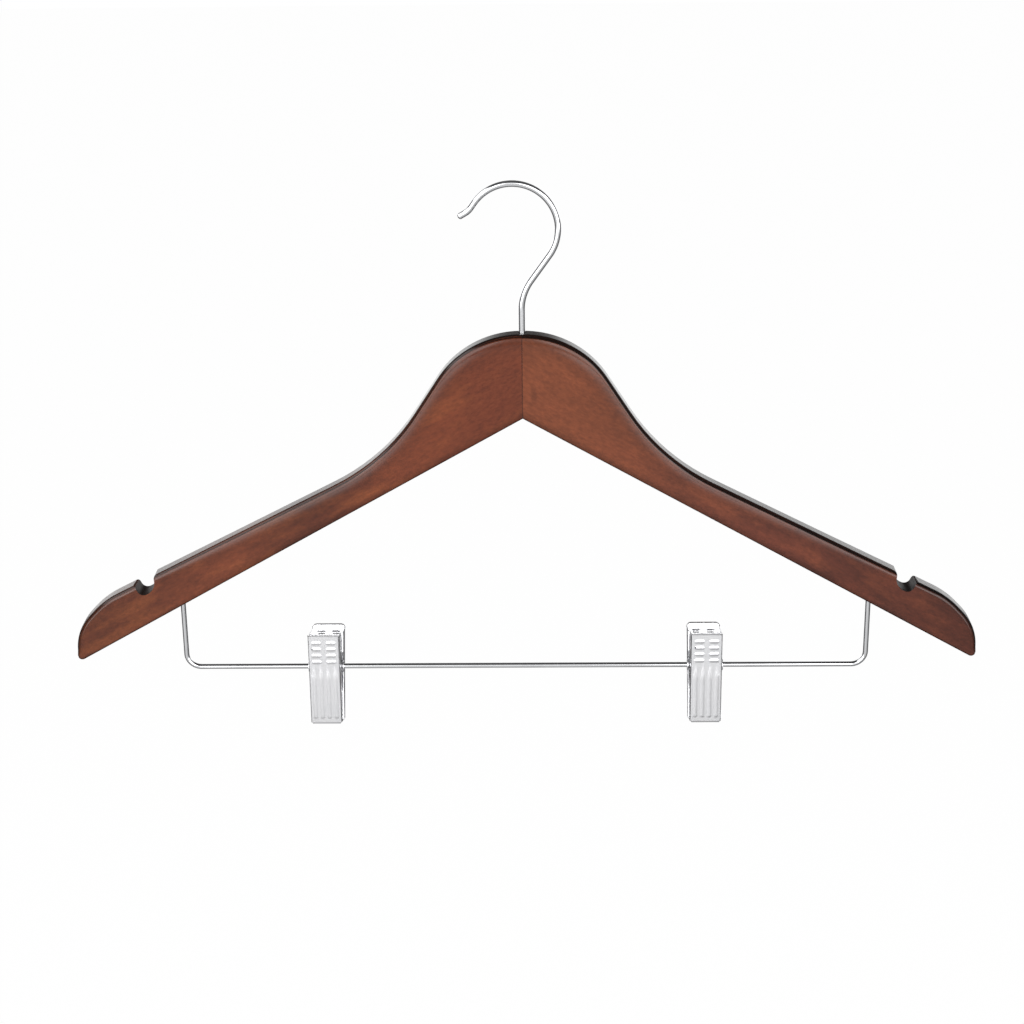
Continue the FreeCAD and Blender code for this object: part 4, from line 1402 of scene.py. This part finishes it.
@dataclass
class Clip:
    """Sprung clip of two pressed shells on a flared tube, in millimetres from the bar's axis."""

    side: Side
    swing: float = 12.0
    sheet: float = 0.45
    fold_radius: float = 0.8
    handle_height: float = 18.6
    jaw_length: float = 28.4
    handle_spread: float = 27.8
    jaw_depth: float = 10.8
    grid_step: float = 0.32
    grip_column: float = 3.6
    grip_length: float = 4.7
    grip_height: float = 1.8
    grip_pitch: float = 3.3
    grip_top: float = 3.4
    grip_rows: int = 4
    grip_relief: float = 0.24
    rib_pitch: float = 3.5
    rib_count: int = 4
    rib_width: float = 2.1
    rib_top: float = 4.2
    rib_bottom: float = 2.6
    rib_relief: float = 0.3
    fold_steps: int = 5
    wall_steps: int = 6
    lip_steps: int = 8
    lip_curl: float = 0.85
    round_sides: int = 48
    edge_share: float = 0.3
    tube_ease: float = 0.14
    pad_ease: float = 0.12
    crease: float = 40.0
    lug_radius: float = 3.1
    lug_hole: float = 1.74
    tube_bore: float = 1.33
    tube_radius: float = 1.68
    tube_half: float = 8.82
    flare_radius: float = 2.9
    flare_thickness: float = 0.45
    spring_wire: float = 0.9
    spring_pitch: float = 1.5
    spring_turns: int = 5
    spring_bore_gap: float = 0.3
    spring_leg_height: float = 12.5
    spring_leg_gap: float = 0.12
    spring_facets: int = 40
    spring_end: float = 0.2
    lean_limit: float = 80.0
    lean_tries: int = 50
    pad_height: float = 11.0
    pad_gap: float = 0.15
    pad_fit: float = 0.04
    groove_count: int = 4
    groove_depth: float = 0.7
    groove_height: float = 0.9
    groove_pitch: float = 2.4
    rim: tuple[tuple[float, float], ...] = (
        (18.6, 2.5), (7.0, 0.3), (2.5, 2.6), (-5.0, 2.6), (-13.0, 0.15), (-28.4, 0.15))

    @property
    def slope(self) -> float:
        """Fall of a plate towards the clip's middle, for each millimetre down."""
        return (self.handle_spread - self.jaw_depth) / 2 / (self.handle_height + self.jaw_length)

    @property
    def grip_middle(self) -> float:
        """Height of the middle of the grip rows."""
        rows = self.grip_height + self.grip_pitch * (self.grip_rows - 1)
        return self.handle_height - self.grip_top - rows / 2

    @property
    def rib_low(self) -> float:
        """Height of the ribs' lower ends."""
        return self.rib_bottom - self.jaw_length

    @property
    def place(self) -> Matrix:
        """Place of the clip on the bar, in metres."""
        pivot = JOINTS[f"{self.side.word}_clip_swing"]["pos_m"]
        return Matrix.Translation(pivot) @ Matrix.Rotation(-math.radians(self.swing), 4, "X")

    def plate(self, z: float) -> float:
        """Distance of a plate's outside from the clip's middle at a height."""
        return self.jaw_depth / 2 + (z + self.jaw_length) * self.slope

    def rim_at(self, z: float) -> float:
        """Distance of a side wall's free edge from the clip's middle at a height.

        Args:
            z: The height.

        Returns:
            The distance.
        """
        for (high, start), (low, end) in zip(self.rim, self.rim[1:]):
            if z >= low:
                return end + (start - end) * (z - low) / (high - low)
        return self.rim[-1][1]

    def columns(self, face: Face) -> list[tuple[float, float, float]]:
        """Lines down a shell, from one side wall's edge to the other's.

        Args:
            face: The clip's half.

        Returns:
            For each line its X, its depth on the fold, and its share of the wall's depth.
        """
        half = SHELLS[face].width / 2
        radius = self.fold_radius
        flat = half - radius
        steps = math.ceil(2 * flat / self.grid_step)
        bend = [math.radians(90 * i / self.fold_steps) for i in range(1, self.fold_steps + 1)]
        right = [(flat + radius * math.sin(a), radius * (1 - math.cos(a)), 0.0) for a in bend]
        right += [(half, radius, i / self.wall_steps) for i in range(1, self.wall_steps + 1)]
        left = [(-x, depth, share) for x, depth, share in reversed(right)]
        middle = [(-flat + 2 * flat * i / steps, 0.0, 0.0) for i in range(steps + 1)]
        return left + middle + right

    def rows(self) -> list[float]:
        """Heights of the lines across a shell, with one at each corner of its rim.

        Returns:
            The heights, from the top down.
        """
        lip = SHELLS[Face.FRONT].lip
        heights = [self.handle_height - lip * i / self.lip_steps for i in range(self.lip_steps + 1)]
        corners = [z for z, _ in self.rim[1:-1]] + [self.fold_radius - self.jaw_length]
        for corner in corners:
            steps = math.ceil((heights[-1] - corner) / self.grid_step)
            start = heights[-1]
            heights += [start + (corner - start) * i / steps for i in range(1, steps + 1)]
        return heights

    def lowered(self, x: float, z: float, face: Face) -> float:
        """Height of a point after the handle's top corners are rounded.

        Args:
            x: The point's X.
            z: Its height before.
            face: The clip's half.

        Returns:
            Its height.
        """
        radius = SHELLS[face].corner
        out = clamp(abs(x) - (SHELLS[face].width / 2 - radius), radius)
        drop = radius - math.sqrt(radius * radius - out * out)
        start = self.handle_height - 3 * radius
        return z - drop * max(0.0, (z - start) / (self.handle_height - start))

    def sheet_metal(self, face: Face) -> bmesh.types.BMesh:
        """Outer surface of a shell: plate, two folded walls and the folded jaw end.

        Args:
            face: The clip's half.

        Returns:
            The open surface, with its plate marked.
        """
        shape = bmesh.new()
        mask = shape.verts.layers.float.new("plate")
        columns = self.columns(face)
        rows = self.rows()
        lip = SHELLS[face].lip
        grid = []
        for z in rows:
            line = []
            for x, depth, share in columns:
                high = self.lowered(x, z, face)
                wall = self.plate(high) - self.rim_at(high) - self.fold_radius
                bent = clamp(1 - (self.handle_height - z) / lip, self.lip_curl)
                flare = lip * (1 - math.sqrt(1 - bent * bent))
                y = self.plate(high) - depth + flare - share * max(wall + flare, 0.0)
                vert = shape.verts.new((x, face.value * y, high))
                vert[mask] = 1.0 if depth == 0.0 else 0.0
                line.append(vert)
            grid.append(line)
        flat = [i for i, (_, depth, _) in enumerate(columns) if depth == 0.0]
        lowest = self.plate(-self.jaw_length)
        floor = lowest - self.rim[-1][1]
        for angle in (30, 60, 90):
            bend = math.radians(angle)
            z = -self.jaw_length + self.fold_radius * (1 - math.sin(bend))
            depth = self.fold_radius * (1 - math.cos(bend))
            grid.append(self.floor_line(shape, columns, flat, z, face.value * (self.plate(z) - depth)))
        for share in (0.5, 1.0):
            y = lowest - self.fold_radius - (floor - self.fold_radius) * share
            grid.append(self.floor_line(shape, columns, flat, -self.jaw_length, face.value * y))
        for upper, lower in zip(grid, grid[1:]):
            for i in range(len(columns) - 1):
                corners = upper[i], upper[i + 1], lower[i + 1], lower[i]
                if None not in corners:
                    shape.faces.new(corners if face is Face.REAR else corners[::-1])
        return shape

    @staticmethod
    def floor_line(shape: bmesh.types.BMesh, columns: Sequence[tuple[float, float, float]],
                   flat: Sequence[int], z: float, y: float) -> list:
        """Line of points across the folded jaw end, with none on the side walls."""
        return [shape.verts.new((x, y, z)) if i in flat else None for i, (x, _, _) in enumerate(columns)]

    def lug(self, shape: bmesh.types.BMesh, face: Face, start: float) -> None:
        """Adds a lug from the plate to the pivot, with a hole for the tube.

        Args:
            shape: The shape that it is added to.
            face: The clip's half.
            start: X of its side nearest the middle.
        """
        reach = self.plate(0) - self.sheet
        corner = math.atan2(self.lug_radius, reach)
        even = {2 * math.pi * i / self.round_sides for i in range(self.round_sides)}
        turns = sorted(even | {corner, 2 * math.pi - corner})
        rings = []
        for x in (start, start + math.copysign(self.sheet, start)):
            for hole in (True, False):
                ring = []
                for turn in turns:
                    across, up = math.cos(turn), math.sin(turn)
                    far = self.lug_radius
                    if across > 0:
                        far = min(reach / across, self.lug_radius / max(abs(up), 1e-6))
                    size = self.lug_hole if hole else far
                    ring.append(shape.verts.new((x, face.value * size * across, size * up)))
                rings.append(ring)
        near_hole, near_out, far_hole, far_out = rings
        loop = near_hole, near_out, far_out, far_hole, near_hole
        for first, second in zip(loop, loop[1:]):
            for i in range(len(turns)):
                shape.faces.new((first[i - 1], first[i], second[i], second[i - 1]))

    def make_shell(self, face: Face, press: PressedRelief) -> bpy.types.Object:
        """Makes one shell.

        Args:
            face: The clip's half.
            press: The tree that raises grips and ribs.

        Returns:
            The shell as a plain mesh object.
        """
        shell = new_object(f"{self.side.word}_{face.word}_shell_sheet",
                           to_mesh("shell", self.sheet_metal(face)))
        tilt = math.atan(self.slope)
        sizes = {name: getattr(self, name) * MM for name in press.LENGTHS}
        counts = {name: float(getattr(self, name)) for name in press.COUNTS}
        press.attach(shell, {
            **sizes, **counts, "Press Direction": (0.0, face.value * math.cos(tilt), -math.sin(tilt)),
            "Material": PLATING.material()})
        wall = shell.modifiers.new("wall", "SOLIDIFY")
        wall.thickness = self.sheet * MM
        wall.offset = -1
        wall.use_quality_normals = True
        edge = shell.modifiers.new("edge", "BEVEL")
        edge.width = self.sheet * self.edge_share * MM
        edge.segments = 2
        edge.angle_limit = math.radians(60)
        settle(shell)
        lugs = bmesh.new()
        for side in Side:
            self.lug(lugs, face, side.value * SHELLS[face].lug)
        add_mesh(shell, to_mesh("lugs", close_faces(lugs)))
        shell.data.transform(self.place)
        shade(shell, self.crease)
        return shell

    def ease(self, piece: bpy.types.Object, finish: Finish, width: float) -> bpy.types.Object:
        """Finishes a plain piece, eases its edges and puts it on the bar.

        Args:
            piece: The piece, still at the origin.
            finish: Its finish.
            width: Width of its eased edges in millimetres.

        Returns:
            The same piece as a plain mesh object.
        """
        piece.data.materials.append(finish.material())
        edge = piece.modifiers.new("edge", "BEVEL")
        edge.width = width * MM
        edge.segments = 2
        settle(piece)
        piece.data.transform(self.place)
        shade(piece, self.crease)
        return piece

    def make_tube(self) -> bpy.types.Object:
        """Makes the flared tube that carries the shells.

        Returns:
            The tube as a plain mesh object.
        """
        shape = bmesh.new()
        inner = self.tube_half - self.flare_thickness
        half = [(self.tube_bore, self.tube_half), (self.flare_radius, self.tube_half),
                (self.flare_radius, inner), (self.tube_radius, inner)]
        lathe(shape, half + [(r, -x) for r, x in reversed(half)], "X", self.round_sides)
        tube = new_object(f"{self.side.word}_pivot_sleeve", to_mesh("tube", close_faces(shape)))
        return self.ease(tube, PLATING, self.tube_ease)

    def make_pad(self, face: Face) -> bpy.types.Object:
        """Makes the vinyl liner of one jaw, with grooves across its gripping face.

        Args:
            face: The clip's half.

        Returns:
            The liner as a plain mesh object.
        """
        low = -self.jaw_length + self.sheet + self.pad_fit
        high = low + self.pad_height
        skin = self.sheet * math.hypot(1, self.slope) + self.pad_fit
        grip = self.pad_gap / 2
        section = [(self.plate(low) - skin, low), (grip, low)]
        for number in range(self.groove_count):
            foot = low + (number + 0.5) * self.groove_pitch
            section += [(grip, foot), (grip + self.groove_depth, foot + self.groove_height / 2),
                        (grip, foot + self.groove_height)]
        section += [(grip, high), (self.plate(high) - skin, high)]
        half = SHELLS[face].width / 2 - self.sheet - self.pad_fit
        shape = bmesh.new()
        prism(shape, [Vector((face.value * y, z)) for y, z in section], (-half, half), "X")
        pad = new_object(f"{self.side.word}_{face.word}_jaw_liner", to_mesh("pad", close_faces(shape)))
        return self.ease(pad, VINYL, self.pad_ease)

    def spring_lean(self, coil: float) -> float:
        """Lean of a spring leg from upright, at which its end lies against the plate's inside.

        Args:
            coil: Radius of the coil's centreline.

        Returns:
            The angle in radians.
        """
        height = self.spring_leg_height
        skin = self.sheet * math.hypot(1, self.slope)
        aim = self.plate(height) - skin - self.spring_leg_gap - self.spring_wire / 2
        low, high = 0.0, math.radians(self.lean_limit)
        for _ in range(self.lean_tries):
            lean = (low + high) / 2
            reach = coil * math.cos(lean) + (height + coil * math.sin(lean)) * math.tan(lean)
            low, high = (lean, high) if reach < aim else (low, lean)
        return lean

    def spring_path(self) -> list[Vector]:
        """Centreline of the spring: a leg, the coil round the tube and the other leg.

        Returns:
            Points in order, in millimetres.
        """
        coil = self.tube_radius + self.spring_bore_gap + self.spring_wire / 2
        lean = self.spring_lean(coil)
        turns = self.spring_turns + 0.5 - lean / math.pi
        climb = self.spring_pitch / (2 * math.pi)
        first = math.pi + lean
        count = math.ceil(turns * self.spring_facets)
        path = []
        for i in range(count + 1):
            turn = first + 2 * math.pi * turns * i / count
            advance = climb * (turn - first) - self.spring_pitch * turns / 2
            path.append(Vector((advance, coil * math.cos(turn), coil * math.sin(turn))))
        length = (self.spring_leg_height + coil * math.sin(lean)) / math.cos(lean)
        start = path[0] + (path[0] - path[1]).normalized() * length
        end = path[-1] + (path[-1] - path[-2]).normalized() * length
        return [start, *path, end]

    def make_spring(self, bender: BentWire) -> None:
        """Makes the torsion spring, which winds up between the two shells.

        Args:
            bender: The tree that makes wires.
        """
        path = self.spring_path()
        spring = bender.make(f"{self.side.word}_coil_spring", path, self.spring_wire, self.spring_end,
                             SPRING_STEEL, step=0.3, sides=16)
        spring.data.transform(self.place)
        pivot = self.place.translation
        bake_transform(spring)
        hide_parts(f"{self.side.word}_spring")

    def build(self, bender: BentWire, press: PressedRelief) -> None:
        """Makes the clip's six pieces and seats five of them; the spring is placed on the bar but seated on
        no body.

        Args:
            bender: The tree that makes wires.
            press: The tree that raises grips and ribs.
        """
        word = self.side.word
        seat(self.make_tube(), f"{word}_slider", f"{word}_pivot_tube")
        for face in Face:
            body = f"{word}_clip_{face.word}"
            seat(self.make_shell(face, press), body, f"{word}_{face.word}_shell")
            seat(self.make_pad(face), body, f"{word}_{face.word}_pad")
        self.make_spring(bender)


# Studio

@dataclass(frozen=True)
class PhotoCamera:
    """Camera at the photograph's viewing angle; its place is in millimetres, its angles in degrees."""

    place: tuple[float, float, float] = (12.198, -938.746, 192.321)
    pitch: float = 20.5
    yaw: float = -1.0925
    roll: float = -0.689
    focal_length: float = 2064.8
    image_width: float = 1024.0
    sensor: float = 36.0

    def build(self) -> None:
        """Makes the camera and puts it in the scene."""
        pitch, yaw, roll = (math.radians(a) for a in (self.pitch, self.yaw, self.roll))
        ahead = Vector((math.sin(yaw) * math.cos(pitch), math.cos(yaw) * math.cos(pitch), -math.sin(pitch)))
        level = Vector((math.cos(yaw), -math.sin(yaw), 0))
        upright = level.cross(ahead)
        right = math.cos(roll) * level + math.sin(roll) * upright
        up = math.cos(roll) * upright - math.sin(roll) * level
        data = bpy.data.cameras.new("photo_camera")
        data.sensor_width = self.sensor
        data.lens = self.focal_length * self.sensor / self.image_width
        data.clip_start = 0.01
        camera = bpy.data.objects.new("photo_camera", data)
        camera.matrix_world = (Matrix.Translation(Vector(self.place) * MM)
                               @ Matrix((right, up, -ahead)).transposed().to_4x4())
        bpy.context.scene.collection.objects.link(camera)
        bpy.context.scene.camera = camera


@dataclass(frozen=True)
class Lamp:
    """Soft square lamp that points at the hanger."""

    name: str
    place: tuple[float, float, float]
    size: float
    power: float


@dataclass(frozen=True)
class Studio:
    """White room with a bright window in front and a dark ceiling, which lacquer and metal mirror."""

    floor_level: float = -0.62
    floor_half: float = 6.0
    floor_white: float = 0.94
    floor_glow: float = 1.03
    floor_side: float = 0.12
    floor_near: float = 0.55
    floor_ahead: float = 0.71
    ambient_front: float = 0.62
    ambient_rest: float = 0.30
    dark: float = 0.09
    window: float = 3.6
    gap: float = 0.197
    fade: float = 0.3
    strip: float = 1.0
    softbox: float = 2.2
    backdrop: float = 1.3
    backdrop_middle: float = 0.3
    window_front: Range = (0.30, 0.55)
    window_band: Band = (-0.10, 0.02, 0.48, 0.60)
    right_pane: Range = (0.03, 0.14)
    left_pane: Range = (0.06, 0.22)
    strip_band: Band = (0.36, 0.42, 0.52, 0.60)
    backdrop_behind: Range = (0.35, 0.70)
    backdrop_top: Range = (0.12, 0.34)
    backdrop_side: Range = (0.06, 0.26)
    softbox_side: Range = (0.45, 0.55)
    softbox_front: Range = (-0.35, -0.15)
    softbox_band: Band = (0.42, 0.50, 0.74, 0.80)
    ambient_turn: Range = (-0.2, 0.8)
    floor_right: Range = (0.1, 0.6)
    floor_near_run: Range = (0.3, 1.0)
    floor_far_run: Range = (1.7, 4.4)
    floor_front: Range = (0.1, 0.8)
    floor_behind: Range = (0.75, 0.95)
    floor_behind_run: Range = (0.8, 2.2)
    target: tuple[float, float, float] = (0.0, 0.0, -0.13)
    lamps: tuple[Lamp, ...] = (
        Lamp("key_lamp", (-0.9, -2.0, 0.55), 1.4, 26.0),
        Lamp("fill_lamp", (1.3, -1.7, 0.2), 1.4, 12.0),
    )

    def build(self) -> None:
        """Makes the world, the floor and the lamps."""
        scene = bpy.context.scene
        scene.view_settings.view_transform = "Standard"
        self.light_world(scene)
        self.lay_floor()
        for lamp in self.lamps:
            self.hang_lamp(lamp)

    @staticmethod
    def seen(nodes: Nodes) -> tuple[Wire, Wire]:
        """Rays that see the background.

        Args:
            nodes: Builder of the tree.

        Returns:
            1 for camera rays, and 1 for glossy or transmitted rays.
        """
        path = nodes.add("ShaderNodeLightPath", output="Is Camera Ray")
        mirrored = nodes.math("MAXIMUM", path.also("Is Glossy Ray"), path.also("Is Transmission Ray"))
        return path, mirrored * (1 - path)

    def light_world(self, scene: bpy.types.Scene) -> None:
        """Gives the scene a world that is white to the camera and lights mostly from in front.

        Args:
            scene: The scene.
        """
        world = bpy.data.worlds.new("studio")
        scene.world = world
        nodes = fresh_nodes(world)
        x, y, z = nodes.split(nodes.add("ShaderNodeTexCoord", output="Generated"))
        ahead = 0 - y
        panes = self.pane(nodes, x) * nodes.band(z, self.window_band)
        strip = nodes.band(z, self.strip_band) * self.strip
        backdrop = nodes.rise(y, *self.backdrop_behind) * (1 - nodes.rise(z, *self.backdrop_top))
        aside = nodes.rise(abs(x), *self.backdrop_side)
        backdrop = backdrop * self.backdrop * (self.backdrop_middle + (1 - self.backdrop_middle) * aside)
        softbox = nodes.rise(0 - x, *self.softbox_side) * nodes.rise(ahead, *self.softbox_front)
        softbox = softbox * nodes.band(z, self.softbox_band) * self.softbox
        front = nodes.rise(ahead, *self.window_front)
        room = self.dark + (panes + strip) * front + backdrop + softbox
        turn = nodes.rise(ahead, *self.ambient_turn)
        ambient = self.ambient_rest + (self.ambient_front - self.ambient_rest) * turn
        camera, mirrored = self.seen(nodes)
        level = camera + mirrored * room + (1 - camera - mirrored) * ambient
        sky = nodes.add("ShaderNodeBackground", inputs={"Color": level})
        nodes.add("ShaderNodeOutputWorld", inputs={"Surface": sky})

    def pane(self, nodes: Nodes, aside: Wire) -> Wire:
        """Brightness of the windows, which leave a dim gap behind the camera.

        Args:
            nodes: Builder of the tree.
            aside: A direction's share to the right.

        Returns:
            The wire from the brightness.
        """
        right, left = nodes.rise(aside, *self.right_pane), nodes.rise(0 - aside, *self.left_pane)
        clear = nodes.math("MAXIMUM", right, left)
        return self.window * (self.gap + (1 - self.gap) * clear)

    def lay_floor(self) -> None:
        """Makes the white floor, which keeps a faint shadow and is mirrored brighter the farther it lies."""
        edge = self.floor_half
        flat = (-edge, -edge), (edge, -edge), (edge, edge), (-edge, edge)
        corners = [(x, y, self.floor_level) for x, y in flat]
        mesh = bpy.data.meshes.new("floor")
        mesh.from_pydata(corners, [], [range(len(corners))])
        floor = new_object("floor", mesh)
        material = bpy.data.materials.new("white_floor")
        nodes = fresh_nodes(material)
        x, y, _ = nodes.split(Finish.place(nodes))
        reach = nodes.math("SQRT", x * x + y * y)
        bearing = (0 - y) / reach
        camera, mirrored = self.seen(nodes)
        right = 1 - self.fade * nodes.rise(x / reach, *self.floor_right)
        run = nodes.rise(reach, *self.floor_near_run)
        near = (self.floor_near + (self.floor_ahead - self.floor_near) * run) * right
        far = (self.pane(nodes, x / reach) - self.floor_ahead) * nodes.rise(reach, *self.floor_far_run)
        front = nodes.rise(bearing, *self.floor_front) * (near + far - self.floor_side)
        behind = nodes.rise(0 - bearing, *self.floor_behind) * nodes.rise(reach, *self.floor_behind_run)
        behind = behind * self.backdrop
        white = nodes.math("MAXIMUM", camera * self.floor_white, mirrored)
        paint = nodes.add("ShaderNodeBsdfDiffuse", inputs={"Color": tint(235, 235, 235)})
        glow = nodes.add("ShaderNodeEmission", inputs={
            "Color": camera * self.floor_glow + mirrored * (self.floor_side + front + behind)})
        surface = nodes.add("ShaderNodeMixShader", inputs={0: white, 1: paint, 2: glow})
        nodes.add("ShaderNodeOutputMaterial", inputs={"Surface": surface})
        mesh.materials.append(material)

    def hang_lamp(self, lamp: Lamp) -> None:
        """Makes one lamp.

        Args:
            lamp: Its name, place, size and power.
        """
        data = bpy.data.lights.new(lamp.name, "AREA")
        data.shape = "SQUARE"
        data.size = lamp.size
        data.energy = lamp.power
        obj = bpy.data.objects.new(lamp.name, data)
        obj.location = lamp.place
        away = Vector(lamp.place) - Vector(self.target)
        obj.rotation_euler = away.to_track_quat("Z", "Y").to_euler()
        obj.visible_glossy = False
        bpy.context.scene.collection.objects.link(obj)


def main() -> None:
    """Builds the hanger's pieces and the studio round them."""
    logging.basicConfig(level=logging.INFO, format="%(message)s")
    Studio().build()
    PhotoCamera().build()
    bender = BentWire()
    press = PressedRelief()
    WoodArms().build()
    SwivelHook().build(bender)
    DropBar().build(bender)
    for side in Side:
        Clip(side).build(bender, press)


if __name__ == "__main__":
    main()
